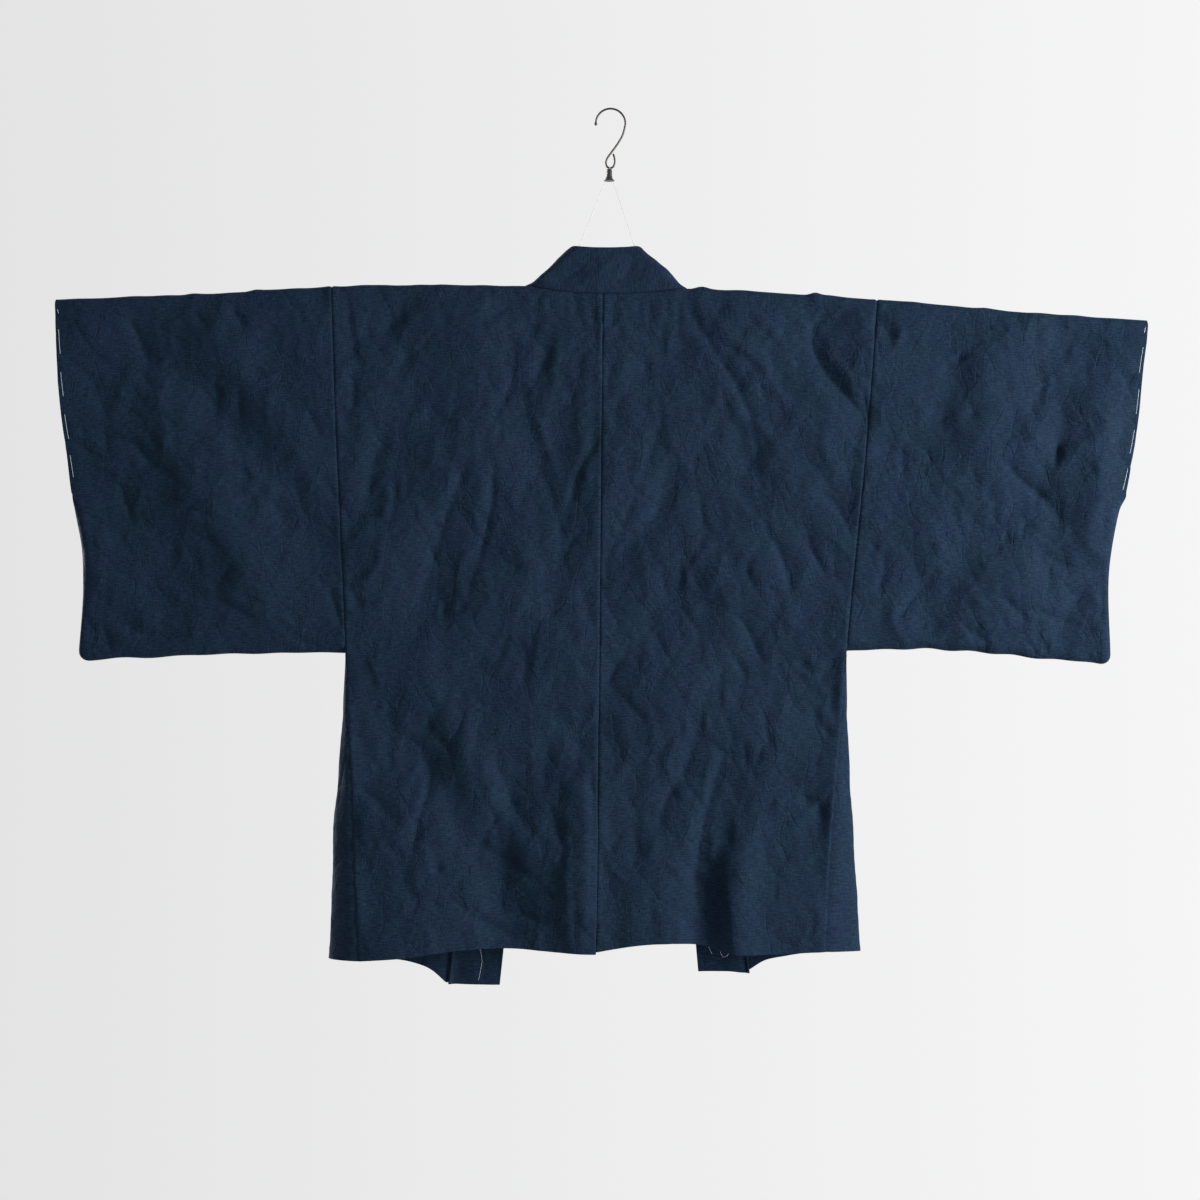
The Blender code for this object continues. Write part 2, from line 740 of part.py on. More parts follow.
def thread_tie():
    """A loop of white thread over the wire at the foot of the eye, both ends down to the cap."""
    eye_drop = HOOK_SHANK["drop"][6]
    ends = CAP_TOP_DROP - 0.00035
    points = [(THREAD_X, -THREAD_BEND, -ends)]
    for i in range(9):
        turn = pi * i / 8
        y = -THREAD_BEND * cos(turn)
        points.append((THREAD_X, y, -(eye_drop - THREAD_BEND * sin(turn))))
    points.append((THREAD_X, THREAD_BEND, -ends))
    finish = material("thread_cotton", (0.8, 0.8, 0.78), 0.8)
    return tube("thread_tie", points, THREAD_RADIUS, finish)


for old in list(bpy.data.objects):
    bpy.data.objects.remove(old)
bpy.context.scene.collection.children.link(bpy.data.collections.new("haori_jacket"))
for side in ("left", "right"):
    body(side)
    sleeve(side)
    gusset(side)
    cord(side)
collar()
rod()
cap()
hook()
thread_tie()
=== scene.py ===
"""Men's haori jacket hung flat, back outwards, on a slim rod, with its cords, cap and wire hook.

Metres, +Z up. The back of the jacket faces -Y. A "drop" is a distance below the underside of the
hook's crown, where the origin is. Creases are listed in millimetres.
"""

from math import cos, hypot, pi, radians, sin, tan

import bpy
import numpy as np
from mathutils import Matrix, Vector


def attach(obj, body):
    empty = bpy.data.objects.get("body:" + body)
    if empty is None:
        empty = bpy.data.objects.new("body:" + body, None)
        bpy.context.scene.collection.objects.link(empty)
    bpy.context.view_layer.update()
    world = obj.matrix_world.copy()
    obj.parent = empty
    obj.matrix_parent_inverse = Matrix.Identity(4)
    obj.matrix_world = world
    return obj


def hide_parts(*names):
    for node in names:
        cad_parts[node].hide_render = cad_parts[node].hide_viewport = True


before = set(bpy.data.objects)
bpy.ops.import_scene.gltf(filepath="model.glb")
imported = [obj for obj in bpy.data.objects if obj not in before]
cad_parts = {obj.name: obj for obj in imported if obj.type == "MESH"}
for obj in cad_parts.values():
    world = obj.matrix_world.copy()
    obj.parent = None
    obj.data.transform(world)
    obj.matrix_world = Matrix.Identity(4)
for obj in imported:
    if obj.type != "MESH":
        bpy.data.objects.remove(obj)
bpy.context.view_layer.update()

# ---------------------------------------------------------------------------------------------
# The two body panels: one length of matt, finely ribbed navy cotton each, up the back, over the
# shoulder and down the front. They are joined down the centre back; the sleeves, gussets and
# collar are sewn to their edges. The rod lies in the top of the fold.

NAVY_BLUE = (0.0102, 0.0228, 0.0470, 1)
NAVY_TEAL = (0.0090, 0.0262, 0.0435, 1)
NAVY_DARK = (0.0034, 0.0064, 0.0160, 1)
NAVY_PALE = (0.0200, 0.0400, 0.0650, 1)


def table(columns, *rows):
    """A short table, as a list of values for each named column."""
    return {name: [row[i] for row in rows] for i, name in enumerate(columns)}


# The threads of the weave: how many there are to a metre across and along, how finely they are
# broken up, and how roughly.
THREADS = table(
    ("across", "along", "detail", "roughness"),
    (110.0, 820.0, 3.0, 0.65),
    (800.0, 130.0, 2.0, 0.60),
    (45.0, 620.0, 2.0, 0.50),
)
# The finest crumple, raised in the finish only, as shallow plates and thin sharp lines. Each row
# has a slant from straight down in degrees, the spacing across and along in metres, and a
# strength, below zero where it is sunk.
SMALL_PLATES = table(
    ("slant", "across", "along", "strength"),
    (14.0, 0.024, 0.058, 1.00),
    (-34.0, 0.018, 0.040, -0.75),
)
LARGE_PLATES = table(
    ("slant", "across", "along", "strength"),
    (19.0, 0.042, 0.115, 1.5),
    (-23.0, 0.036, 0.090, -1.3),
)
SHARP_LINES = table(
    ("slant", "across", "along", "width", "strength"),
    (20.0, 0.019, 0.054, 0.075, 0.140),
    (-38.0, 0.021, 0.047, 0.065, 0.140),
    (-12.0, 0.013, 0.030, 0.110, -0.098),
)
CRUMPLE_HIGH = 0.0024
WEAVE_HIGH = 0.0008


class Wire:
    """An output socket in a material, with arithmetic."""

    def __init__(self, finish, socket):
        self.finish = finish
        self.socket = socket

    def maths(self, operation, first, second):
        settings = {"operation": operation}
        return self.finish.node("ShaderNodeMath", settings, {0: first, 1: second}, "Value")

    def __add__(self, other):
        return self.maths("ADD", self, other)

    def __sub__(self, other):
        return self.maths("SUBTRACT", self, other)

    def __rsub__(self, other):
        return self.maths("SUBTRACT", other, self)

    def __mul__(self, other):
        return self.maths("MULTIPLY", self, other)

    __radd__ = __add__
    __rmul__ = __mul__


class Finish:
    """A material under construction, or the studio's air."""

    def __init__(self, name, kind="materials", shader="Principled BSDF"):
        self.made = getattr(bpy.data, kind).new(name)
        self.made.use_nodes = True
        self.tree = self.made.node_tree
        self.shader = self.tree.nodes[shader]

    def plug(self, socket, value):
        if isinstance(value, Wire):
            self.tree.links.new(value.socket, socket)
        else:
            socket.default_value = value

    def node(self, kind, settings, sockets, output):
        """A new node, with its settings made first, as the wire from one of its outputs."""
        made = self.tree.nodes.new(kind)
        for name, value in settings.items():
            setattr(made, name, value)
        for name, value in sockets.items():
            self.plug(made.inputs[name], value)
        return Wire(self, made.outputs[output])

    def place(self):
        return self.node("ShaderNodeTexCoord", {}, {}, "Object")

    def noise(self, at, scale, detail=2.0, roughness=0.5):
        sockets = {"Vector": at, "Scale": scale, "Detail": detail, "Roughness": roughness}
        return self.node("ShaderNodeTexNoise", {}, sockets, 0)

    def cells(self, at, feature):
        """Distances in a flat net of straight-sided cells, one in each unit square or so."""
        settings = {"voronoi_dimensions": "2D", "feature": feature}
        sockets = {"Vector": at, "Scale": 1.0}
        return self.node("ShaderNodeTexVoronoi", settings, sockets, "Distance")

    def plates(self, at):
        """Shallow bowls with crisp straight rims."""
        away = self.cells(at, "F1")
        return away * away

    def grooves(self, at, width):
        """0 along straight lines that meet in threes, and 1 between them."""
        return self.spread(self.cells(at, "DISTANCE_TO_EDGE"), 0.0, width)

    def stretched(self, at, scale):
        return self.node("ShaderNodeMapping", {}, {"Vector": at, "Scale": scale}, "Vector")

    def bent(self, at, scale, reach):
        """Places pushed aside a little by a slow noise."""
        sockets = {"Vector": at, "Scale": scale, "Detail": 1.0}
        push = self.node("ShaderNodeTexNoise", {}, sockets, 1)
        sockets = {0: push, 1: (reach, reach, 0.0), 2: at}
        return self.node("ShaderNodeVectorMath", {"operation": "MULTIPLY_ADD"}, sockets, "Vector")

    def slanted(self, at, slant, size):
        """Places on the flat cloth turned by a slant in degrees, then divided by a size."""
        sockets = {"Vector": at, "Rotation": (0, 0, radians(slant)), "Scale": (*size, 1.0)}
        return self.node("ShaderNodeMapping", {"vector_type": "TEXTURE"}, sockets, "Vector")

    def blend(self, share, first, second):
        sockets = {0: share, 6: first, 7: second}
        return self.node("ShaderNodeMix", {"data_type": "RGBA"}, sockets, 2)

    def bump(self, height, distance, strength=1.0, **under):
        """The normal of a raised surface, over that of a finer one if it is given."""
        sockets = {"Height": height, "Distance": distance, "Strength": strength, **under}
        return self.node("ShaderNodeBump", {}, sockets, "Normal")

    def spread(self, value, low, high):
        """0 where the value is low, 1 where it is high."""
        sockets = {0: value, 1: low, 2: high}
        return self.node("ShaderNodeMapRange", {}, sockets, "Result")

    def set(self, **sockets):
        for name, value in sockets.items():
            self.plug(self.shader.inputs[name.replace("_", " ")], value)
        return self.made


def navy_cloth():
    """Ribbed cotton whose colour wanders between blue and teal, with a few thicker, paler threads.
    Its finest crumple is raised here, and follows the flat cloth."""
    finish = Finish("navy_cotton")
    place = finish.place()
    cut = finish.node("ShaderNodeUVMap", {"uv_map": "cut"}, {}, "UV")
    weft, warp, slub = (
        finish.noise(finish.stretched(cut, (across, along, 1.0)), 1.0, detail, roughness)
        for across, along, detail, roughness in zip(*THREADS.values())
    )
    slub = finish.spread(slub, 0.54, 0.76)
    clouds = finish.spread(finish.noise(place, 22.0, 5.0, 0.65), 0.36, 0.64)
    patches = finish.spread(finish.noise(place, 45.0, 4.0, 0.65), 0.32, 0.70)
    colour = finish.blend(clouds, NAVY_BLUE, NAVY_TEAL)
    dark = finish.spread(weft, 0.62, 0.40) * 0.62 + finish.spread(warp, 0.64, 0.36) * 0.28
    dark = dark + patches * 0.10
    colour = finish.blend(dark, colour, NAVY_DARK)
    colour = finish.blend(slub * 0.16, colour, NAVY_PALE)
    bent = finish.bent(cut, 24.0, 0.024)

    def plates(sizes, mask):
        first, second = (
            finish.plates(finish.slanted(bent, slant, (across, along))) * strength
            for slant, across, along, strength in zip(*sizes.values())
        )
        return (first + second) * mask

    lines = plates(SMALL_PLATES, finish.spread(finish.noise(place, 11.0, 2.0), 0.36, 0.60))
    lines = lines + plates(LARGE_PLATES, finish.spread(finish.noise(place, 7.0, 1.0), 0.34, 0.58))
    some = finish.spread(finish.noise(place, 17.0, 2.0), 0.44, 0.58)
    others = finish.spread(finish.noise(place, 21.0, 2.0), 0.56, 0.42)
    for mask, (slant, *size, width, strength) in zip(
        (some, others, others), zip(*SHARP_LINES.values())
    ):
        sharp = finish.grooves(finish.slanted(bent, slant, size), width)
        lines = lines + sharp * mask * strength
    grain = finish.bump(weft * 0.7 + warp * 0.3 + slub * 0.3, WEAVE_HIGH)
    normal = finish.bump(lines, CRUMPLE_HIGH, Normal=grain)
    finish.set(Sheen_Weight=0.03, Sheen_Roughness=0.45, Specular_IOR_Level=0.06)
    finish.set(Sheen_Tint=(0.45, 0.62, 0.90, 1.0))
    return finish.set(Base_Color=colour, Roughness=weft * 0.12 + 0.72, Normal=normal)


cloth = navy_cloth()

CLOTH = 0.0016
SEAM_GAP = 0.0002
FOLD_RADIUS = 0.0070
FOLD_REACH = FOLD_RADIUS * pi / 2
CENTRE_TOP_X = -0.0091
NECK_DIP = 0.0112
NECK_SHAPE = 2.6
ARMPIT = 0.6575
BODY_DRAPE = 0.815
BODY_CELL = 0.0036
BACK_HEM_LEVEL = 1.02
FRONT_HEM_LEVEL = 1.03
FRONT_LENGTH = 0.8
# Outer top line of the cloth over the bowed rod.
SHOULDER = table(
    ("x", "drop"),
    (-0.672, 0.2302),
    (-0.502, 0.2238),
    (-0.337, 0.2146),
    (-0.200, 0.2122),
    (-0.100, 0.2138),
    (0.100, 0.2168),
    (0.225, 0.2235),
    (0.322, 0.2300),
    (0.497, 0.2450),
    (0.648, 0.2556),
)
BACK_SIDE = table(
    ("drop", "left", "right"),
    (0.215, -0.3370, 0.3230),
    (0.410, -0.3300, 0.3080),
    (0.6575, -0.3190, 0.2840),
    (0.745, -0.3160, 0.2775),
    (0.810, -0.3125, 0.2715),
    (0.900, -0.3095, 0.2640),
    (1.030, -0.3030, 0.2575),
)
FRONT_SIDE = table(
    ("drop", "left", "right"),
    (0.215, -0.3370, 0.3230),
    (0.410, -0.3300, 0.3080),
    (0.6575, -0.3190, 0.2840),
    (0.810, -0.3215, 0.2825),
    (1.030, -0.3270, 0.2890),
)
CENTRE_SEAM = table(
    ("drop", "x"), (0.221, CENTRE_TOP_X), (0.600, -0.0127), (1.022, -0.0173)
)
# How far the cloth stands from the rod's plane, by distance below the rod.
DEPTH = table(
    ("below", "back", "front"),
    (0.00, FOLD_RADIUS, FOLD_RADIUS),
    (0.06, 0.0083, 0.0083),
    (0.20, 0.0098, 0.0098),
    (0.44, 0.0092, 0.0092),
    (0.60, 0.0125, 0.0165),
    (0.82, 0.0180, 0.0270),
)
BACK_HEM = {
    "left": table(
        ("x", "drop"),
        (-0.303, 1.0270),
        (-0.245, 1.0220),
        (-0.187, 1.0150),
        (-0.132, 1.0130),
        (-0.060, 1.0172),
        (-0.017, 1.0188),
    ),
    "right": table(
        ("x", "drop"),
        (-0.017, 1.0160),
        (0.055, 1.0060),
        (0.106, 1.0085),
        (0.146, 1.0180),
        (0.185, 1.0190),
        (0.258, 1.0160),
    ),
}
FRONT_HEM = {
    "left": table(
        ("x", "drop"),
        (-0.327, 1.0270),
        (-0.263, 1.0320),
        (-0.240, 1.0360),
        (-0.215, 1.0450),
        (-0.196, 1.0600),
    ),
    "right": table(
        ("x", "drop"),
        (0.168, 1.0440),
        (0.186, 1.0330),
        (0.215, 1.0260),
        (0.289, 1.0200),
    ),
}
# Per side: where the shoulder fold ends at the neck, and where and how steeply the collar folds.
NECK = {
    "left": {"out": -1, "corner_x": -0.1040, "fold_x": -0.1020, "angle": 41.9},
    "right": {"out": 1, "corner_x": 0.0925, "fold_x": 0.0905, "angle": 42.4},
}

# The largest folds of the back: a line from head to foot, its half width, and how far it rises.
FOLDS = table(
    ("head_x", "head_drop", "foot_x", "foot_drop", "width", "rise"),
    (-0.128, 0.730, -0.108, 1.120, 0.048, -0.0090),
    (-0.040, 0.760, -0.036, 1.120, 0.022, 0.0080),
    (-0.235, 0.780, -0.262, 1.120, 0.036, 0.0070),
    (0.158, 0.750, 0.100, 1.060, 0.022, -0.0095),
    (0.146, 0.820, 0.165, 1.120, 0.022, 0.0090),
    (0.045, 0.780, 0.058, 1.120, 0.034, 0.0060),
    (0.252, 0.240, 0.300, 0.420, 0.022, -0.0035),
    (-0.120, 0.340, -0.230, 0.640, 0.034, -0.0035),
    (0.095, 0.420, -0.010, 0.620, 0.030, -0.0030),
    (-0.285, 0.690, -0.110, 0.985, 0.026, -0.0065),
    (-0.245, 0.655, -0.070, 0.945, 0.026, 0.0060),
    (-0.600, 0.300, -0.400, 0.620, 0.029, 0.0078),
    (-0.555, 0.262, -0.330, 0.560, 0.026, -0.0070),
    (-0.500, 0.240, -0.350, 0.450, 0.024, 0.0055),
    (-0.630, 0.400, -0.540, 0.620, 0.026, -0.0055),
    (0.470, 0.520, 0.520, 0.620, 0.032, 0.0045),
    (0.612, 0.300, 0.562, 0.560, 0.022, 0.0068),
    (0.569, 0.280, 0.500, 0.500, 0.024, -0.0065),
    (0.500, 0.250, 0.430, 0.430, 0.030, 0.0045),
    (0.440, 0.250, 0.372, 0.440, 0.026, -0.0045),
    (0.400, 0.470, 0.340, 0.640, 0.026, 0.0040),
)

# Creases of the back, in millimetres: half width, rise (a valley is below zero), how much softer
# the right flank is than the left, and the places (x, drop) it runs through.
BACK_CREASES = [
    (10, -3.2, 0.3, (267, 232), (243, 270), (258, 315), (298, 365), (310, 392)),
    (26, -2.8, 0.0, (160, 762), (124, 834), (108, 900), (108, 963), (124, 1010)),
    (9, -2.4, 0.4, (150, 745), (120, 830), (106, 900), (107, 965)),
    (15, 2.4, 0.0, (136, 880), (145, 960), (151, 1030)),
    (24, -2.4, 0.0, (-112, 780), (-124, 880), (-134, 1020)),
    (9, 1.2, -0.4, (-53, 850), (-50, 940), (-50, 1020)),
    (10, 1.2, 0.0, (-31, 786), (-30, 900), (-31, 1025)),
    (8, -1.9, 0.2, (-110, 265), (-122, 334), (-146, 388)),
    (9, -2.2, 0.2, (-165, 410), (-189, 463), (-206, 518), (-235, 610)),
    (7, -1.7, -0.2, (-149, 407), (-142, 450), (-152, 518), (-181, 610)),
    (6, -1.4, 0.0, (-73, 290), (-97, 339)),
    (7, 1.6, 0.2, (-97, 356), (-82, 393), (-62, 450)),
    (8, -1.7, 0.2, (-100, 415), (-76, 459), (-60, 518), (-68, 571)),
    (5, -1.6, 0.0, (-14, 399), (-36, 437), (-60, 518)),
    (6, -1.6, 0.0, (-33, 505), (-55, 540), (-44, 577)),
    (7, -1.5, 0.0, (-249, 248), (-279, 272)),
    (16, -2.4, 0.0, (-266, 382), (-287, 431), (-301, 520)),
    (7, 1.6, 0.3, (-279, 518), (-281, 551), (-312, 582)),
    (6, -1.4, 0.0, (-264, 437), (-260, 463), (-268, 518)),
    (7, -1.5, 0.0, (-332, 361), (-312, 388)),
    (8, -2.1, 0.3, (94, 226), (116, 280), (148, 329), (170, 382), (181, 442)),
    (7, 1.7, 0.3, (126, 248), (148, 283), (181, 310), (234, 399)),
    (6, -1.4, 0.0, (175, 329), (188, 347)),
    (8, -1.7, 0.2, (65, 361), (50, 410), (26, 474), (-3, 542)),
    (18, -2.6, 0.0, (83, 431), (70, 463), (30, 518), (-9, 571)),
    (6, -1.5, 0.0, (105, 459), (116, 512)),
    (7, -2.4, 0.3, (183, 499), (205, 540), (221, 599)),
    (6, -1.6, 0.0, (181, 525), (164, 558), (188, 599)),
    (8, -2.6, 0.3, (245, 459), (272, 480), (291, 520)),
    (8, -2.0, 0.2, (229, 477), (245, 540), (286, 593)),
    (7, -1.6, 0.0, (-228, 741), (-185, 784)),
    (8, -2.2, 0.2, (-224, 774), (-218, 809), (-234, 871), (-238, 905)),
    (8, -2.1, 0.2, (-135, 768), (-135, 796), (-108, 858), (-77, 892)),
    (7, -1.8, 0.0, (-73, 855), (-53, 895)),
    (7, -1.6, 0.0, (-274, 883), (-250, 905)),
    (8, -1.8, 0.0, (-306, 812), (-250, 871)),
    (8, -2.6, 0.3, (-188, 951), (-166, 975), (-135, 991), (-111, 1003)),
    (7, -1.8, 0.0, (-139, 967), (-55, 987)),
    (8, -1.8, 0.0, (-166, 883), (-89, 932)),
    (8, -2.0, 0.2, (111, 734), (89, 796), (65, 840), (55, 889)),
    (6, -1.5, 0.0, (21, 714), (43, 744)),
    (7, -1.7, 0.0, (27, 639), (-13, 704)),
    (7, -1.7, 0.2, (139, 611), (160, 621), (185, 673)),
    (6, -1.5, 0.0, (148, 658), (164, 688)),
    (6, -1.7, 0.0, (160, 760), (166, 802)),
    (6, -1.5, 0.0, (281, 658), (253, 676)),
    (6, -2.2, 0.3, (222, 667), (246, 679)),
    (6, -1.5, 0.0, (99, 822), (114, 849)),
    (6, -1.6, 0.0, (262, 860), (284, 892)),
    (5, 1.6, 0.0, (-322, 760), (-326, 860), (-326, 1020)),
    (8, -2.2, 0.2, (-583, 249), (-556, 311)),
    (6, -1.5, 0.0, (-661, 290), (-603, 311)),
    (7, -1.9, 0.2, (-647, 392), (-583, 402), (-549, 433), (-504, 460)),
    (22, 3.0, 0.0, (-573, 334), (-502, 385), (-413, 453), (-348, 505)),
    (7, -1.7, 0.0, (-460, 236), (-434, 273)),
    (6, -1.4, 0.0, (-365, 364), (-348, 399)),
    (7, -1.8, 0.0, (-485, 586), (-423, 620)),
    (7, -1.8, 0.0, (-481, 582), (-453, 548)),
    (8, -2.2, 0.2, (-590, 620), (-556, 636), (-502, 633)),
    (7, -1.8, 0.0, (-342, 572), (-321, 633)),
    (6, -1.6, 0.0, (-389, 636), (-348, 650)),
    (8, -2.0, 0.2, (-594, 453), (-575, 507)),
    (8, -2.9, 0.3, (471, 419), (491, 446), (522, 469), (545, 505)),
    (7, -1.8, 0.0, (541, 396), (535, 439)),
    (6, -1.6, 0.0, (610, 315), (630, 341)),
    (7, -1.7, 0.0, (304, 334), (312, 385)),
    (7, -1.7, 0.0, (352, 402), (352, 453)),
    (7, -2.1, 0.2, (464, 582), (505, 623)),
    (6, -1.7, 0.0, (505, 623), (443, 646)),
    (7, -1.9, 0.0, (491, 599), (586, 633)),
    (6, -1.5, 0.0, (430, 627), (453, 646)),
    (8, -2.1, 0.2, (518, 531), (552, 555), (592, 548)),
    (7, -1.8, 0.0, (338, 623), (389, 565)),
    (3, -0.8, 0.0, (493, 618), (545, 628), (597, 632)),
]
# Short gathers hang from the collar's seam.
BACK_CREASES += [(4, -1.1, 0.0, (x, 222), (x + 2, 262)) for x in (-24, 3, 17, 34, 47, 66, 81)]
BACK_CREASES += [(4, -0.9, 0.0, (x, 222), (x - 5, 250)) for x in (-38, -52, -71, -88)]

# Fields of small creases: how many, the box they lie in (x, drop), which way they run (degrees
# from straight down, towards +X), how far they stray from it, and the longest.
BACK_FIELDS = [
    (70, (-320, -20), (240, 640), -18, 30, 100),
    (80, (-310, -20), (640, 1015), -4, 24, 110),
    (45, (90, 310), (240, 640), 28, 24, 100),
    (35, (-10, 130), (240, 640), -14, 24, 90),
    (80, (-10, 270), (640, 1010), -2, 28, 100),
    (75, (-655, -340), (245, 650), 48, 34, 100),
    (110, (310, 630), (255, 655), 40, 42, 80),
    (10, (-335, -312), (700, 1010), 6, 12, 70),
    (10, (268, 295), (700, 1000), -6, 12, 70),
]
FRONT_FIELDS = [
    (80, (-325, -110), (240, 1030), 6, 26, 110),
    (80, (95, 320), (240, 1030), -6, 26, 110),
    (75, (-650, -340), (245, 650), 44, 36, 100),
    (75, (310, 630), (255, 655), -40, 36, 100),
]
FRONT_CREASES = [
    (14, -2.2, 0.3, (-165, 320), (-205, 430), (-225, 600)),
    (14, -2.0, 0.0, (150, 320), (185, 430), (205, 590)),
    (9, -2.2, 0.2, (-300, 640), (-250, 720), (-230, 840)),
    (9, -2.2, 0.2, (265, 650), (225, 720), (215, 850)),
    (14, 3.0, 0.0, (-280, 800), (-290, 900), (-285, 1030)),
    (14, 3.0, 0.0, (240, 790), (245, 900), (240, 1030)),
    (14, -3.4, 0.2, (-215, 780), (-222, 900), (-225, 1040)),
    (12, -3.0, 0.2, (190, 790), (196, 900), (200, 1030)),
    (9, -2.0, 0.0, (-330, 480), (-440, 520), (-560, 590)),
    (9, -2.0, 0.0, (320, 500), (420, 545), (540, 600)),
    (8, -2.0, 0.0, (-370, 260), (-420, 350), (-500, 420)),
    (8, -2.0, 0.0, (360, 270), (420, 350), (500, 400)),
]
# The crumple of each part: the pivot it fans out from and the part's middle (x, drop), how far
# apart its creases are across and along, and their height, in metres.
CRUMPLES = {
    "body_left": [
        ((-0.02, -0.05), (-0.17, 0.60), 0.046, 0.150, 0.0054),
        ((0.30, -0.10), (-0.17, 0.60), 0.040, 0.110, -0.0044),
        ((-0.50, 0.00), (-0.17, 0.60), 0.030, 0.075, -0.0026),
        ((-0.10, -0.60), (-0.17, 0.60), 0.019, 0.045, 0.0014),
    ],
    "body_right": [
        ((0.00, -0.05), (0.14, 0.60), 0.044, 0.150, 0.0052),
        ((0.45, -0.05), (0.14, 0.60), 0.038, 0.110, -0.0042),
        ((-0.35, -0.05), (0.14, 0.60), 0.030, 0.080, -0.0027),
        ((0.10, -0.60), (0.14, 0.60), 0.019, 0.042, 0.0014),
    ],
    "sleeve_left": [
        ((-1.40, -0.25), (-0.49, 0.44), 0.062, 0.190, -0.0044),
        ((-0.35, -0.40), (-0.49, 0.44), 0.038, 0.095, 0.0030),
        ((-1.10, 0.30), (-0.49, 0.44), 0.025, 0.060, -0.0018),
    ],
    "sleeve_right": [
        ((0.00, -0.20), (0.47, 0.45), 0.060, 0.150, -0.0042),
        ((1.10, -0.20), (0.47, 0.45), 0.035, 0.085, 0.0032),
        ((0.40, -0.60), (0.47, 0.45), 0.022, 0.048, -0.0019),
    ],
}
# Bumps of the shoulder line, in millimetres: where, half width and rise.
TOP_BUMPS = table(
    ("x", "width", "rise"),
    (-585, 20, 0.8),
    (-505, 9, 1.2),
    (-429, 8, 1.5),
    (-300, 14, 0.7),
    (-205, 10, 0.8),
    (110, 9, 2.8),
    (160, 18, 0.8),
    (247, 7, 3.0),
    (262, 18, 1.0),
    (365, 12, 0.9),
    (452, 10, 1.1),
    (560, 14, 0.9),
)
CREST_ROUND = 0.14
CREASE_DEPTH = 2.0
PANEL_CREASES = 1.15
SWELL_RISE, SWELL_LENGTH = 0.0022, 0.150
CRUMPLE_STRENGTH = 0.86
CALM_AT_SEAM, CALM_REACH = 0.25, 0.015
SEAM_WELD = 0.004
PUCKER_RISE, PUCKER_LENGTH, PUCKER_REACH = 0.0004, 0.022, 0.012
CALM_AT_ROD, CALM_AT_COLLAR, CALM_AT_GUSSET = 0.030, 0.030, 0.016
SEAM_DEPTH, SEAM_WIDTH = 0.0013, 0.0011
WELT_RISE, WELT_AWAY, WELT_WIDTH = 0.0003, 0.0042, 0.0026
NECK_SEAM_DEPTH = 1.8


def smooth(t):
    """0 below 0, 1 above 1, and an even S between."""
    t = np.clip(t, 0.0, 1.0)
    return t * t * (3 - 2 * t)


def lerp(a, b, t):
    return a + (b - a) * t


def curve(rows, given, wanted):
    """The smooth curve through two columns of a table, as a function that holds its end values."""
    xs, ys = np.array(rows[given]), np.array(rows[wanted])
    slopes = np.gradient(ys, xs)

    def at(x):
        x = np.clip(x, xs[0], xs[-1])
        i = np.clip(np.searchsorted(xs, x, side="right") - 1, 0, len(xs) - 2)
        step = xs[i + 1] - xs[i]
        t = (x - xs[i]) / step
        value = (2 * t**3 - 3 * t**2 + 1) * ys[i] + (3 * t**2 - 2 * t**3) * ys[i + 1]
        value += (t**3 - 2 * t**2 + t) * step * slopes[i] + (t**3 - t**2) * step * slopes[i + 1]
        return value

    return at


shoulder_drop = curve(SHOULDER, "x", "drop")
centre_seam_x = curve(CENTRE_SEAM, "drop", "x")
back_depth = curve(DEPTH, "below", "back")
front_depth = curve(DEPTH, "below", "front")


def axis_drop(x):
    """Where the fold turns from round to straight, at the shoulder above x."""
    return shoulder_drop(x) + CLOTH / 2 + FOLD_RADIUS


def fold_rise(x, drop):
    """How far the large folds lift the back out of its plain form."""
    rise = np.zeros(np.shape(x))
    for head_x, head_drop, foot_x, foot_drop, width, high in zip(*FOLDS.values()):
        run_x, run_drop = foot_x - head_x, foot_drop - head_drop
        length = hypot(run_x, run_drop)
        along = ((x - head_x) * run_x + (drop - head_drop) * run_drop) / length**2
        aside = ((x - head_x) * run_drop - (drop - head_drop) * run_x) / length
        ends = smooth((along + 0.1) / 0.5) * smooth((1.1 - along) / 0.3)
        rise += high * ends * np.exp(-((aside / width) ** 2))
    return rise


def hang(x, length, top_drop, front):
    """The places at lengths of cloth down from the top of the fold, on the back or the front."""
    x, length, top_drop = np.broadcast_arrays(x, length, top_drop)
    turn = np.clip(length / FOLD_RADIUS, 0, pi / 2)
    past = np.maximum(length - FOLD_REACH, 0)
    drop = top_drop - FOLD_RADIUS * np.cos(turn) + past
    if front:
        y = np.where(past > 0, front_depth(past), FOLD_RADIUS * np.sin(turn))
    else:
        flat = -back_depth(past) - fold_rise(x, drop)
        y = np.where(past > 0, flat, -FOLD_RADIUS * np.sin(turn))
    return np.stack([x, y, -drop], axis=-1)


def run_through(stations, steps):
    """Points along the smooth curve through the stations, steps to each stretch."""
    stations = np.array(stations, float)
    ends = 2 * stations[0] - stations[1], 2 * stations[-1] - stations[-2]
    full = np.vstack([ends[0], stations, ends[1]])
    t = np.arange(steps)[:, None] / steps
    run = []
    for a, b, c, d in zip(full, full[1:], full[2:], full[3:]):
        cubic = (2 * a - 5 * b + 4 * c - d) * t**2 + (3 * b - 3 * c + d - a) * t**3
        run.append(0.5 * (2 * b + (c - a) * t + cubic))
    return np.vstack(run + [stations[-1:]])


def crest(aside):
    """A crease's section: a crisp crest between hollow flanks."""
    return np.exp(CREST_ROUND - np.sqrt(1.6 * aside**2 + CREST_ROUND**2))


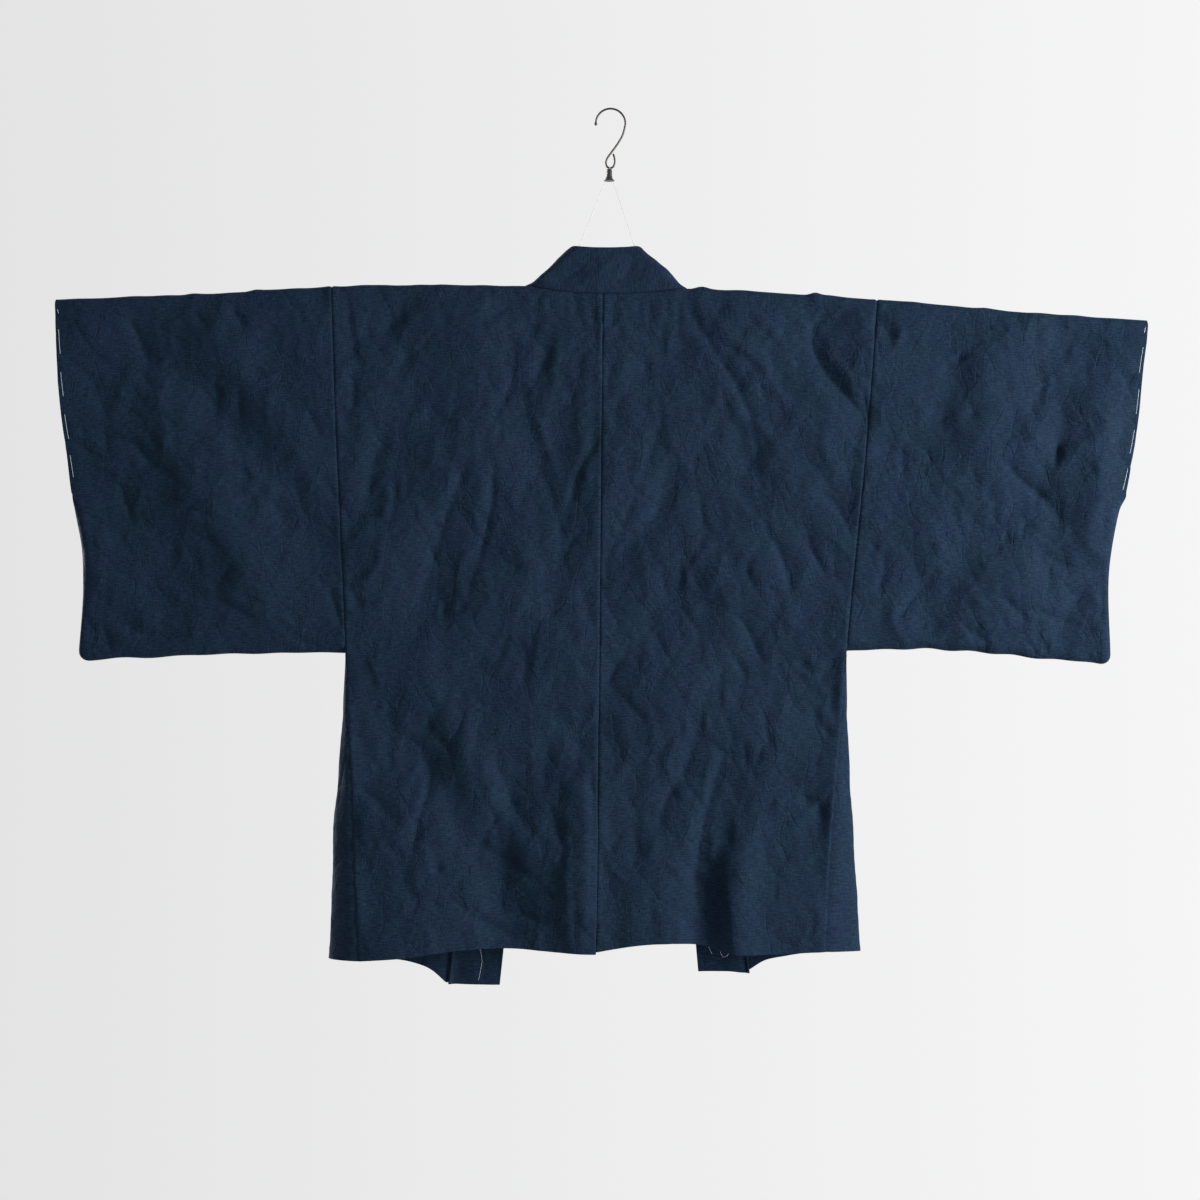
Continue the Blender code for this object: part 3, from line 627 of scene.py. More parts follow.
def crease_rise(x, drop, creases):
    """How far the creases lift the cloth at each place."""
    total = np.zeros(x.shape)
    for width, high, lean, *stations in creases:
        line = run_through(stations, 4) / 1000
        width = width / 1000
        low, top = line.min(0) - 3 * width, line.max(0) + 3 * width
        near = (x > low[0]) & (x < top[0]) & (drop > low[1]) & (drop < top[1])
        if not near.any():
            continue
        px, pd = x[near], drop[near]
        nearest = np.full(px.shape, np.inf)
        aside, along = np.zeros(px.shape), np.zeros(px.shape)
        for i, (start, end) in enumerate(zip(line, line[1:])):
            run = end - start
            share = ((px - start[0]) * run[0] + (pd - start[1]) * run[1]) / (run @ run)
            share = np.clip(share, 0, 1)
            off_x, off_drop = px - start[0] - share * run[0], pd - start[1] - share * run[1]
            away = np.hypot(off_x, off_drop)
            closer = away < nearest
            nearest = np.where(closer, away, nearest)
            side = np.sign(off_x * run[1] - off_drop * run[0])
            aside = np.where(closer, away * side, aside)
            along = np.where(closer, (i + share) / (len(line) - 1), along)
        reach = width * np.where(aside > 0, 1 + lean, 1 - lean)
        ends = np.sin(pi * np.clip(along, 0, 1)) ** 0.8
        total[near] += CREASE_DEPTH * high / 1000 * ends * crest(aside / reach)
    return total


def scatter(seed, fields):
    """Small creases, uneven in place, direction, length, width and height."""
    rng = np.random.default_rng(seed)
    creases = []
    for count, across, down, direction, stray, longest in fields:
        for _ in range(count):
            middle = np.array([rng.uniform(*across), rng.uniform(*down)])
            heading = radians(rng.normal(direction, stray))
            ahead = np.array([sin(heading), cos(heading)])
            aside = np.array([cos(heading), -sin(heading)])
            half = longest * rng.uniform(0.22, 1.0) ** 1.6 / 2
            bow = aside * half * rng.normal(0, 0.22)
            width = rng.uniform(3.6, 9.0)
            rise = width * rng.uniform(0.05, 0.20) * rng.choice((-1, -1, 1))
            lean = rng.uniform(-0.5, 0.5)
            ends = middle - ahead * half, middle + ahead * half
            creases.append((width, rise, lean, ends[0], middle + bow, ends[1]))
    return creases


def waves(x, drop, seed, length, count=22):
    """A gentle random swell of about one unit, with waves near the given length."""
    rng = np.random.default_rng(seed)
    swell = np.zeros(np.shape(x))
    for _ in range(count):
        heading, phase = rng.uniform(0, pi), rng.uniform(0, 2 * pi)
        pace = 2 * pi / (length * rng.uniform(0.7, 1.5))
        swell += np.cos(pace * (x * cos(heading) + drop * sin(heading)) + phase)
    return swell * (2 / count) ** 0.5


def ridges(x, drop, seed, length):
    """A net of soft winding ridges."""
    return 0.7 - np.minimum(np.abs(waves(x, drop, seed, length)), 1.6)


BACK_CREASES += scatter(11, BACK_FIELDS)
FRONT_CREASES += scatter(12, FRONT_FIELDS)


def plates(across, along, seed):
    """Shallow bowls with crisp straight rims, one in each unit square or so."""
    dents = np.random.default_rng(seed).uniform(-0.5, 0.5, (64, 64, 3))
    i, j = np.floor(across).astype(int), np.floor(along).astype(int)
    lowest = np.full(across.shape, np.inf)
    for a in (-1, 0, 1):
        for b in (-1, 0, 1):
            dent = dents[(i + a) % 64, (j + b) % 64]
            off_across = across - i - a - 0.5 - 0.9 * dent[..., 0]
            off_along = along - j - b - 0.5 - 0.9 * dent[..., 1]
            lowest = np.minimum(lowest, off_across**2 + off_along**2 + 0.4 * dent[..., 2])
    return lowest


def crumple(x, drop, seed, pivot, middle, across, along, high):
    """Creases that fan out from a pivot: the rims of long plates, about so far apart across and
    along, stronger in some places than in others."""
    off_x, off_drop = x - pivot[0], drop - pivot[1]
    radius = hypot(middle[0] - pivot[0], middle[1] - pivot[1])
    aside = radius * np.arctan2(off_x, off_drop) + 0.12 * across * waves(x, drop, seed, 0.14)
    net = plates(aside / across, np.hypot(off_x, off_drop) / along, seed + 1) - 0.25
    return high * net * (0.65 + 0.45 * np.clip(waves(x, drop, seed + 2, 0.17), -1, 1.4))


def cloth_rise(x, drop, front, part):
    """All that lifts the cloth off its plain form. What is alike on both sides of a seam goes
    across it, and the crumple of each part fades out towards it."""
    seed = 40 if front else 30
    rise = PANEL_CREASES * crease_rise(x, drop, FRONT_CREASES if front else BACK_CREASES)
    rise += SWELL_RISE * waves(x, drop, seed, SWELL_LENGTH)
    net = np.zeros(x.shape)
    for i, run in enumerate(CRUMPLES[part]):
        net += crumple(x, drop, seed + 10 * i + 100 * len(part), *run)
    return rise, net


def lifted(x, drop, is_front, part, away):
    """The rise of a part that has both a back and a front, away from its seams."""
    back, back_net = cloth_rise(x, drop, False, part)
    front, front_net = cloth_rise(x, drop, True, part)
    net = CRUMPLE_STRENGTH * np.where(is_front, front_net, back_net)
    net *= lerp(CALM_AT_SEAM, 1, smooth(away / CALM_REACH)) * smooth(away / SEAM_WELD)
    return np.where(is_front, front, back) + net


def top_rise(x):
    """How the shoulder line stands off the rod."""
    rise = 0.0004 + 0.0003 * waves(x, 0 * x, 5, 0.05)
    for where, width, high in zip(*TOP_BUMPS.values()):
        rise += high / 1000 * np.exp(-(((x - where / 1000) * 1000 / width) ** 2))
    return np.maximum(rise, 0)


def over_rod(rise, x, length):
    """The rise near the rod, where only the bumps of the shoulder line lift the cloth."""
    rise = rise * smooth((length - 0.004) / CALM_AT_ROD)
    return rise + top_rise(x) * (1 - smooth((length - 0.002) / 0.020))


def seam_pucker(drop, away):
    """The sewing thread draws the cloth beside a seam into small waves."""
    pucker = PUCKER_RISE * waves(0 * drop, drop, 7, PUCKER_LENGTH)
    return pucker * np.exp(-((away / PUCKER_REACH) ** 2))


def seam_dip(away):
    """The cloth turns in at a seam, with the seam allowance as a low welt beside it."""
    welt = WELT_RISE * np.exp(-(((away - WELT_AWAY) / WELT_WIDTH) ** 2))
    return welt - SEAM_DEPTH * np.exp(-((away / SEAM_WIDTH) ** 2))


def normals_of(points):
    """Unit normals of a grid of points, away from the inside of the jacket."""
    across, along = np.gradient(points, axis=1), np.gradient(points, axis=0)
    normals = np.cross(across, along)
    normals /= np.maximum(np.linalg.norm(normals, axis=-1, keepdims=True), 1e-12)
    back = points[..., 1] < -0.004
    return -normals if normals[back][:, 1].mean() > 0 else normals


def sew(name, points, flat, wall, cut=None):
    """A panel from a grid of points and their places on the flat cloth, with its wall. Grid
    corners where cut is true are left out."""
    rows, columns = points.shape[:2]
    bpy.ops.object.select_all(action="DESELECT")
    bpy.ops.mesh.primitive_grid_add(x_subdivisions=columns - 1, y_subdivisions=rows - 1, size=2)
    panel = bpy.context.object
    panel.name = panel.data.name = name
    mesh = panel.data
    corners = np.empty(len(mesh.vertices) * 3)
    mesh.vertices.foreach_get("co", corners)
    corners = corners.reshape(-1, 3)
    i = np.rint((corners[:, 0] + 1) / 2 * (columns - 1)).astype(int)
    j = np.rint((corners[:, 1] + 1) / 2 * (rows - 1)).astype(int)
    mesh.vertices.foreach_set("co", points[j, i].ravel())
    mesh.uv_layers[0].name = "cut"
    owner = np.empty(len(mesh.loops), int)
    mesh.loops.foreach_get("vertex_index", owner)
    mesh.uv_layers["cut"].data.foreach_set("uv", flat[j, i][owner].ravel())
    bpy.ops.object.mode_set(mode="EDIT")
    if cut is not None:
        bpy.ops.mesh.select_mode(type="VERT")
        bpy.ops.mesh.select_all(action="DESELECT")
        bpy.ops.object.mode_set(mode="OBJECT")
        mesh.vertices.foreach_set("select", cut[j, i])
        bpy.ops.object.mode_set(mode="EDIT")
        bpy.ops.mesh.delete(type="VERT")
    bpy.ops.mesh.select_all(action="SELECT")
    bpy.ops.mesh.remove_doubles(threshold=0.00002)
    bpy.ops.mesh.normals_make_consistent(inside=False)
    bpy.ops.object.mode_set(mode="OBJECT")
    shell = panel.modifiers.new("wall", "SOLIDIFY")
    shell.thickness = wall
    shell.offset = 0
    bpy.ops.object.modifier_apply(modifier="wall")
    bpy.ops.object.shade_smooth_by_angle(angle=radians(55))
    mesh.materials.append(cloth)
    return panel


def edged(start, end, cell):
    """Even steps from start to end, closer together near both ends."""
    near = np.array([0.0, 0.0008, 0.0016, 0.0026, 0.0038, 0.0055, 0.0080])
    count = max(int(round((end - start - 2 * near[-1]) / cell)), 2)
    middle = np.linspace(start + near[-1], end - near[-1], count)
    return np.concatenate([start + near[:-1], middle, end - near[:-1][::-1]])


def fold_rows(drape, cell):
    """Rows of a folded panel, from the foot of its back (-1) over the fold (0) to the foot of its
    front (1)."""
    down = edged(FOLD_REACH, drape, cell) / drape
    turn = np.linspace(0, FOLD_REACH / drape, 9)[:-1]
    return np.concatenate([-down[::-1], -turn[::-1], turn[1:], down])


def body(side):
    """Columns run from the side edge (0) to the neck corner (1) and on to the centre back (2).
    Rows run from the back hem (-1) over the fold (0) to the front hem (1)."""
    neck = NECK[side]
    out, corner_x = neck["out"], neck["corner_x"]
    back_side, front_side = curve(BACK_SIDE, "drop", side), curve(FRONT_SIDE, "drop", side)
    back_hem, front_hem = curve(BACK_HEM[side], "x", "drop"), curve(FRONT_HEM[side], "x", "drop")
    shoulder_x = BACK_SIDE[side][0]
    half = abs(CENTRE_TOP_X - shoulder_x)
    corner_share = (corner_x - shoulder_x) / (CENTRE_TOP_X - shoulder_x)
    places = edged(0.0, half, BODY_CELL) / half
    nearest = np.argmin(np.abs(places - corner_share))
    places[nearest] = corner_share
    columns = np.interp(places, [0, corner_share, 1], [0, 1, 2])
    column, row = np.meshgrid(columns, fold_rows(BODY_DRAPE, BODY_CELL))

    def back_x(drop):
        share = np.where(column < 1, column * corner_share, lerp(corner_share, 1, column - 1))
        return lerp(back_side(drop), centre_seam_x(drop) + out * SEAM_GAP / 2, share)

    top_x = back_x(axis_drop(corner_x))
    top_drop = axis_drop(top_x)
    cut_away = np.where(column > 1, NECK_DIP * (1 - np.abs(2 - column) ** NECK_SHAPE), 0)
    whole = back_hem(back_x(BACK_HEM_LEVEL)) - top_drop + FOLD_REACH
    back_length = lerp(cut_away, whole, np.maximum(-row, 0))
    x = back_x(top_drop + np.maximum(back_length - FOLD_REACH, 0))
    back = hang(x, back_length, top_drop, False)

    def front_x(drop, length):
        edge = corner_x + out * length / tan(2 * radians(neck["angle"]))
        return lerp(front_side(drop), edge, np.minimum(column, 1))

    whole = front_hem(front_x(FRONT_HEM_LEVEL, FRONT_LENGTH)) - top_drop + FOLD_REACH
    front_length = whole * np.maximum(row, 0)
    x = front_x(top_drop + np.maximum(front_length - FOLD_REACH, 0), front_length)
    front = hang(x, front_length, top_drop, True)

    is_front = row > 0
    points = np.where(is_front[..., None], front, back)
    length = np.where(is_front, front_length, back_length)
    x, drop = points[..., 0], -points[..., 2]
    side_away = np.abs(x - np.where(is_front, front_side(drop), back_side(drop)))
    centre_away = np.abs(x - centre_seam_x(drop))
    rise = lifted(x, drop, is_front, "body_" + side, np.minimum(side_away, centre_away))
    by_gusset = smooth((drop - ARMPIT + 0.01) / 0.03)
    rise *= lerp(1, smooth(side_away / CALM_AT_GUSSET), by_gusset)
    collar_away = np.abs(x - corner_x - out * front_length / tan(2 * radians(neck["angle"])))
    rise *= np.where(is_front, smooth((collar_away - 0.002) / CALM_AT_COLLAR), 1)
    rise = over_rod(rise, x, length)
    rise += seam_dip(side_away)
    rise += np.where(is_front, 0, seam_dip(centre_away))
    neck_dip = NECK_SEAM_DEPTH * seam_dip(back_length - cut_away)
    rise += np.where((column > 1) & ~is_front, neck_dip, 0)
    rise += seam_pucker(drop, np.minimum(side_away, centre_away))
    points = points + normals_of(points) * rise[..., None]
    flat = np.stack([x, np.where(is_front, -length, length)], axis=-1)
    return sew("body_" + side + "_panel", points, flat, CLOTH, (column > 1) & is_front)


for side in ("left", "right"):
    panel = body(side)
    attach(panel, "root")
    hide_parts("body_" + side)

# ---------------------------------------------------------------------------------------------
# The sleeves: one length of cloth each, folded over the rod and sewn to the body for their whole
# height. The wrist edge is sewn shut below the cuff and along the bottom, and white basting
# thread still holds the edge of the cuff.

EDGE_ROUND = 0.012
SLEEVE_CORNER = 0.013
SLEEVE_BULGE = 0.004
CUFF_FOOT = 0.462
CUFF_CLOSES_OVER = 0.022
SLEEVE_DRAPE = 0.445
SLEEVE_TOP_LEVEL = 0.23
SLEEVE_WIDTH_LEVEL = 0.6
SLEEVE_HEM_LEVEL = 0.65
SLEEVE_CELL = 0.0031
SLEEVE_WRIST = {
    "left": table(
        ("drop", "x"),
        (0.230, -0.6705),
        (0.302, -0.6660),
        (0.411, -0.6565),
        (0.484, -0.6470),
        (0.530, -0.6385),
        (0.575, -0.6370),
        (0.665, -0.6430),
    ),
    "right": table(
        ("drop", "x"),
        (0.255, 0.6490),
        (0.302, 0.6430),
        (0.375, 0.6370),
        (0.448, 0.6240),
        (0.500, 0.6110),
        (0.545, 0.6035),
        (0.670, 0.6040),
    ),
}
SLEEVE_BOTTOM = {
    "left": table(
        ("x", "drop"),
        (-0.642, 0.6665),
        (-0.575, 0.6625),
        (-0.450, 0.6570),
        (-0.319, 0.6560),
    ),
    "right": table(
        ("x", "drop"),
        (0.284, 0.6550),
        (0.345, 0.6515),
        (0.440, 0.6555),
        (0.604, 0.6705),
    ),
}
# The basting stitches by the drops they start and end at, and how far in from the edge they lie.
BASTING = {
    "left": (
        (0.242, 0.248, 0.0030),
        (0.264, 0.300, 0.0035),
        (0.316, 0.351, 0.0040),
        (0.367, 0.402, 0.0042),
        (0.416, 0.447, 0.0040),
    ),
    "right": (
        (0.263, 0.272, 0.0030),
        (0.286, 0.322, 0.0035),
        (0.336, 0.371, 0.0030),
        (0.385, 0.419, 0.0034),
        (0.432, 0.463, 0.0036),
    ),
}
THREAD_RADIUS = 0.00022
THREAD_SHADED = (0.38, 0.42, 0.46, 1)
THREAD_PALE = (0.54, 0.58, 0.61, 1)


def twisted_cotton(name, fineness, detail, shaded, pale, roughness):
    finish = Finish(name)
    twist = finish.noise(finish.place(), fineness, detail)
    colour = finish.blend(twist, shaded, pale)
    return finish.set(Base_Color=colour, Roughness=roughness, Normal=finish.bump(twist, 0.0002))


thread_finish = twisted_cotton("white_cotton_thread", 900.0, 2.0, THREAD_SHADED, THREAD_PALE, 0.8)


def sleeve(side):
    """Columns run from the armhole (0) to the wrist (1). Rows go from the bottom seam up the back,
    over the fold (0) and down the front."""
    out = NECK[side]["out"]
    armhole = curve(BACK_SIDE, "drop", side)
    wrist = curve(SLEEVE_WRIST[side], "drop", "x")
    bottom = curve(SLEEVE_BOTTOM[side], "x", "drop")
    width = abs(wrist(SLEEVE_WIDTH_LEVEL) - armhole(SLEEVE_WIDTH_LEVEL))
    columns = edged(0.0, width, SLEEVE_CELL) / width
    column, row = np.meshgrid(columns, fold_rows(SLEEVE_DRAPE, SLEEVE_CELL))

    def across(drop):
        return lerp(armhole(drop) + out * SEAM_GAP, wrist(drop), column)

    def rounded(inset):
        """A closed edge's share of the full depth, at an inset from it."""
        return np.sqrt(1 - (1 - np.clip(inset / EDGE_ROUND, 0, 1)) ** 2)

    top_x = across(SLEEVE_TOP_LEVEL)
    top_drop = axis_drop(top_x)
    foot = bottom(across(SLEEVE_HEM_LEVEL)) + 0.0007 * waves(top_x, 0 * top_x, 8, 0.05)
    inset = (1 - column) * width
    corner = np.sqrt(SLEEVE_CORNER**2 - np.maximum(SLEEVE_CORNER - inset, 0) ** 2)
    whole = foot - (SLEEVE_CORNER - corner) - top_drop + FOLD_REACH
    length = whole * np.abs(row)
    drop = top_drop + np.maximum(length - FOLD_REACH, 0)
    shut = smooth((drop - CUFF_FOOT) / CUFF_CLOSES_OVER)
    share = rounded(whole - length) * lerp(1, rounded(inset), shut)
    x = across(drop)
    is_front = row > 0
    points = np.where(
        is_front[..., None], hang(x, length, top_drop, True), hang(x, length, top_drop, False)
    )
    bulge = SLEEVE_BULGE * np.sin(pi * column) * np.sin(pi * length / whole)
    points[..., 1] = (points[..., 1] + np.where(is_front, bulge, -bulge)) * share
    drop = -points[..., 2]
    away = np.abs(x - armhole(drop))
    rise = lifted(x, drop, is_front, "sleeve_" + side, away)
    rise = over_rod(rise, x, length) + seam_dip(away) + seam_pucker(drop, away)
    closed = smooth((whole - length) / 0.010) * lerp(1, smooth(inset / 0.010), shut)
    points = points + normals_of(points) * (rise * closed)[..., None]
    flat = np.stack([x, np.where(is_front, -length, length)], axis=-1)
    return sew("sleeve_" + side + "_panel", points, flat, CLOTH)


def lay_on(piece, x, drop, lift):
    """The place on a piece's outer face at x and drop, as seen from the back, lifted off it."""
    hit, place, _, _ = piece.ray_cast(Vector((x, -0.3, -drop)), Vector((0, 1, 0)))
    return (x, place.y - lift, -drop) if hit else (x, 0.0, -drop)


def tube(name, runs, radius, finish, sides=3):
    """Thread, cord or wire: a round tube along each run of points, as one object."""
    data = bpy.data.curves.new(name, "CURVE")
    data.dimensions = "3D"
    data.bevel_depth = radius
    data.bevel_resolution = sides
    data.use_fill_caps = True
    for run in runs:
        line = data.splines.new("POLY")
        line.points.add(len(run) - 1)
        line.points.foreach_set("co", np.array([(*point, 1) for point in run]).ravel())
        line.use_smooth = True
    data.materials.append(finish)
    made = bpy.data.objects.new(name, data)
    bpy.context.collection.objects.link(made)
    return made


def basting(side, panel):
    """Long running stitches: each lies on the cloth and goes into it at both ends."""
    out = NECK[side]["out"]
    wrist = curve(SLEEVE_WRIST[side], "drop", "x")
    stitches = []
    for start, end, inset in BASTING[side]:
        stitch = []
        for i in range(9):
            drop = lerp(start, end, i / 8)
            x = float(wrist(drop)) - out * (inset + 0.0010 * i / 8)
            sunk = 0.0009 if i in (0, 8) else 0.0
            stitch.append(lay_on(panel, x, drop, THREAD_RADIUS * 0.7 - sunk))
        stitches.append(stitch)
    return tube("basting_" + side, stitches, THREAD_RADIUS, thread_finish, 1)


for side in ("left", "right"):
    panel = sleeve(side)
    stitches = basting(side, panel)
    for piece in (panel, stitches):
        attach(piece, "root")
    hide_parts("sleeve_" + side)

# ---------------------------------------------------------------------------------------------
# The gussets: a narrow wedge of the same cloth down each side, from the armpit to the hem, sewn
# between the edges of the back and the front.

GUSSET_COLUMNS, GUSSET_ROWS = 25, 120
GUSSET_STARTS_BELOW = 0.0008
GUSSET_OUTER = table(
    ("drop", "left", "right"),
    (0.6575, -0.3200, 0.2850),
    (0.745, -0.3250, 0.2868),
    (0.810, -0.3300, 0.2900),
    (0.865, -0.3355, 0.2935),
    (0.940, -0.3375, 0.2980),
    (1.030, -0.3420, 0.3040),
)


def gusset(side):
    """Columns run from the back's edge (0) to the front's (1), and rows from armpit to hem."""
    out = NECK[side]["out"]
    back_side, front_side = curve(BACK_SIDE, "drop", side), curve(FRONT_SIDE, "drop", side)
    outer = curve(GUSSET_OUTER, "drop", side)
    top_drop = axis_drop(BACK_SIDE[side][0])
    outer_end = 0 if side == "left" else -1
    hem = BACK_HEM[side]["drop"][outer_end], FRONT_HEM[side]["drop"][outer_end]
    column, row = np.meshgrid(
        np.linspace(0, 1, GUSSET_COLUMNS), np.linspace(0, 1, GUSSET_ROWS)
    )
    drop = lerp(ARMPIT + GUSSET_STARTS_BELOW, lerp(hem[0], hem[1], column), row)
    x = back_side(drop)
    back = np.stack([x, -back_depth(drop - top_drop) - fold_rise(x, drop), -drop], axis=-1)
    front = np.stack([front_side(drop), front_depth(drop - top_drop), -drop], axis=-1)
    points = lerp(back, front, column[..., None])
    bow = outer(drop) - lerp(back[..., 0], front[..., 0], 0.55) - out * CLOTH / 2
    points[..., 0] += np.maximum(bow * out, 0) * out * 4 * column * (1 - column)
    width = np.linalg.norm(front - back, axis=-1)
    away = np.minimum(column, 1 - column) * width
    across = column * 0.06
    rise = 0.0004 * waves(across, drop, 21, 0.09) + 0.0003 * ridges(across, drop, 22, 0.04)
    rise *= smooth(away / 0.012) * smooth((row - 0.02) / 0.2)
    normal = np.cross(np.gradient(points, axis=1), np.gradient(points, axis=0))
    normal /= np.maximum(np.linalg.norm(normal, axis=-1, keepdims=True), 1e-12)
    normal *= np.sign(normal[..., 0].mean()) * out
    dip = seam_dip(away) * smooth(row / 0.1)
    points = points + normal * (rise + dip)[..., None]
    flat = np.stack([across, drop], axis=-1)
    return sew("gusset_" + side + "_panel", points, flat, CLOTH)


for side in ("left", "right"):
    panel = gusset(side)
    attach(panel, "root")
    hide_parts("gusset_" + side)

# ---------------------------------------------------------------------------------------------
# The collar: one long doubled strip. It stands up round the back of the neck, folds over on a
# slant at both neck corners, and runs down the fronts to below the hem.

COLLAR_CLOTH = 0.0024
COLLAR_WIDTH_NECK = 0.0550
COLLAR_WIDTH_HEM = 0.0590
COLLAR_LEAN = 0.0010
COLLAR_BLEND = 0.025
COLLAR_RISE_SHAPE = 2.2
COLLAR_CELL = 0.0032
COLLAR_ACROSS_CELL = 0.0026
COLLAR_TUCK = 0.0010
COLLAR_FOLD_ROWS = 26
COLLAR_FOLD_SPAN = 1.3
FOLD_DROP = 0.2110
STRIP_END = {"left": 1.0620, "right": 1.0485}
# Loose ends of basting thread on the backs of the strips, by x and drop.
LOOSE_THREADS = (
    ((-0.161, 1.013), (-0.157, 1.030), (-0.158, 1.042), (-0.161, 1.057)),
    ((0.114, 1.013), (0.120, 1.017), (0.124, 1.025)),
    ((0.148, 1.021), (0.140, 1.029), (0.135, 1.025), (0.134, 1.019)),
)
# Creases of the standing collar in millimetres, as on the body.
COLLAR_CREASES = [
    (6, -0.9, 0.0, (-70, 214), (-40, 196), (-22, 178)),
    (7, 0.9, 0.3, (-50, 217), (-12, 198), (8, 172)),
    (6, -0.8, 0.0, (6, 216), (22, 196), (28, 176)),
    (7, 0.8, 0.0, (30, 214), (44, 200), (50, 188)),
    (5, -0.9, 0.0, (52, 214), (66, 206)),
    (8, -0.7, 0.0, (-34, 170), (30, 174)),
]


def corner_along(side):
    """The length of collar seam from the centre back to where the collar folds."""
    return abs(NECK[side]["fold_x"] - CENTRE_TOP_X)


def neck_edge(side, along):
    """Where the collar is sewn on, at a length of collar seam from the centre back."""
    neck, corner = NECK[side], corner_along(side)
    share = np.minimum(along / corner, 1)
    x = lerp(CENTRE_TOP_X, neck["corner_x"], share)
    behind = hang(x, NECK_DIP * (1 - share**NECK_SHAPE), axis_drop(x), False)
    turn = 2 * radians(neck["angle"])
    past = np.maximum(along - corner, 0)
    x = neck["corner_x"] + neck["out"] * past * cos(turn)
    before = hang(x, past * sin(turn), axis_drop(neck["corner_x"]), True)
    return np.where((along < corner)[..., None], behind, before)


def folded_strip(side, along, across):
    """The collar as a flat strip folded round its slanting line: its seam edge (across 0) runs
    level from the centre back, and all that is past the line turns over and runs down."""
    neck = NECK[side]
    out, angle = neck["out"], radians(neck["angle"])
    centre_drop = -float(neck_edge(side, np.zeros(1))[0, 2])
    share = np.minimum(along / corner_along(side), 1)
    rise = (centre_drop - FOLD_DROP) * share**COLLAR_RISE_SHAPE
    off_x = CENTRE_TOP_X + out * along - neck["fold_x"]
    off_z = rise - centre_drop + FOLD_DROP + across
    on_line = off_x * out * cos(angle) - off_z * sin(angle)
    past = off_x * out * sin(angle) + off_z * cos(angle) + FOLD_REACH
    turn = np.clip(past / FOLD_RADIUS, 0, pi)
    over = FOLD_RADIUS * np.sin(turn) - np.maximum(past - pi * FOLD_RADIUS, 0)
    beyond = np.where(past < 0, past, over) - FOLD_REACH
    x = neck["fold_x"] + out * cos(angle) * on_line + out * sin(angle) * beyond
    z = -FOLD_DROP - sin(angle) * on_line + cos(angle) * beyond
    top_drop = axis_drop(neck["corner_x"])
    behind = front_depth(np.maximum(-z - top_drop, 0)) - FOLD_RADIUS
    y = -FOLD_RADIUS * np.cos(turn) + behind * (1 - np.cos(turn)) / 2
    y += COLLAR_LEAN * np.maximum(z + centre_drop, 0) / COLLAR_WIDTH_NECK
    return np.stack([x, y, z], axis=-1)


def collar_half(side, columns):
    """The grid of one side, from the centre back to the foot of the strip, with its flat places."""
    neck = NECK[side]
    angle = radians(neck["angle"])
    corner = corner_along(side)
    reach = FOLD_REACH / sin(angle)
    down = STRIP_END[side] - axis_drop(neck["corner_x"]) + FOLD_REACH
    end = corner + down / sin(2 * angle)
    rows = np.linspace(0, end, int(end / COLLAR_CELL))
    span = COLLAR_FOLD_SPAN * reach
    fold = np.linspace(corner - span, corner + span, COLLAR_FOLD_ROWS)
    rows = np.concatenate([rows[rows < fold[0]], fold, rows[rows > fold[-1]]])
    stops = (0, corner - 1.15 * reach, fold[-1], fold[-1] + 0.14)
    slant = np.interp(rows, stops, (0, -1 / tan(angle), -1 / tan(angle), -cos(2 * angle)))
    share, at = np.meshgrid(columns, rows)
    along = at + slant[:, None] * share * COLLAR_WIDTH_NECK
    width = lerp(COLLAR_WIDTH_NECK, COLLAR_WIDTH_HEM, smooth(along / 0.3))
    across = lerp(-COLLAR_TUCK, width, share)
    points = folded_strip(side, along, across)
    sewn = neck_edge(side, along) - folded_strip(side, along, 0 * across)
    points = points + sewn * (1 - smooth(across / COLLAR_BLEND))[..., None]
    return points, np.stack([across, along * neck["out"]], axis=-1)


def collar():
    columns = edged(0.0, COLLAR_WIDTH_HEM, COLLAR_ACROSS_CELL) / COLLAR_WIDTH_HEM
    left, left_flat = collar_half("left", columns)
    right, right_flat = collar_half("right", columns)
    points = np.concatenate([left[:0:-1], right])
    flat = np.concatenate([left_flat[:0:-1], right_flat])
    across, along = flat[..., 0], np.abs(flat[..., 1])
    x, drop = points[..., 0], -points[..., 2]
    standing = (points[..., 1] < 0) & (drop < 0.235)
    rise = np.where(standing, crease_rise(x, drop, COLLAR_CREASES), 0)
    away = np.minimum(across, COLLAR_WIDTH_HEM - across)
    swell = 0.0007 * waves(across, flat[..., 1], 51, 0.09)
    swell += 0.0003 * ridges(across, flat[..., 1], 52, 0.04)
    rise += swell * smooth(away / 0.010)
    rise += seam_dip(across) - 0.0016 * np.exp(-(((across + COLLAR_TUCK) / 0.0018) ** 2))
    return sew("collar_strip", points + normals_of(points) * rise[..., None], flat, COLLAR_CLOTH)


collar_strip = collar()
runs = []
for loose in LOOSE_THREADS:
    line = run_through(loose, 6)
    runs.append([lay_on(collar_strip, x, drop, THREAD_RADIUS) for x, drop in line])
loose_threads = tube("loose_basting_ends", runs, THREAD_RADIUS * 0.8, thread_finish, 1)
for piece in (collar_strip, loose_threads):
    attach(piece, "root")
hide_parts("collar")

# ---------------------------------------------------------------------------------------------
# The rod: a slim wooden dowel through both sleeves, bowed by the jacket's weight, with its ends
# cut square and a little rounded.

ROD_RADIUS = 0.0034
ROD_SLACK = 0.0005
ROD_ENDS = (-0.652, 0.632)
ROD_STEPS = 96
WOOD_GRAIN = (0.24, 0.145, 0.070, 1)
WOOD_PALE = (0.46, 0.32, 0.18, 1)


def rod_drop(x):
    """Where the middle of the rod lies, under the cloth's fold."""
    return float(shoulder_drop(x)) + CLOTH + ROD_SLACK + ROD_RADIUS


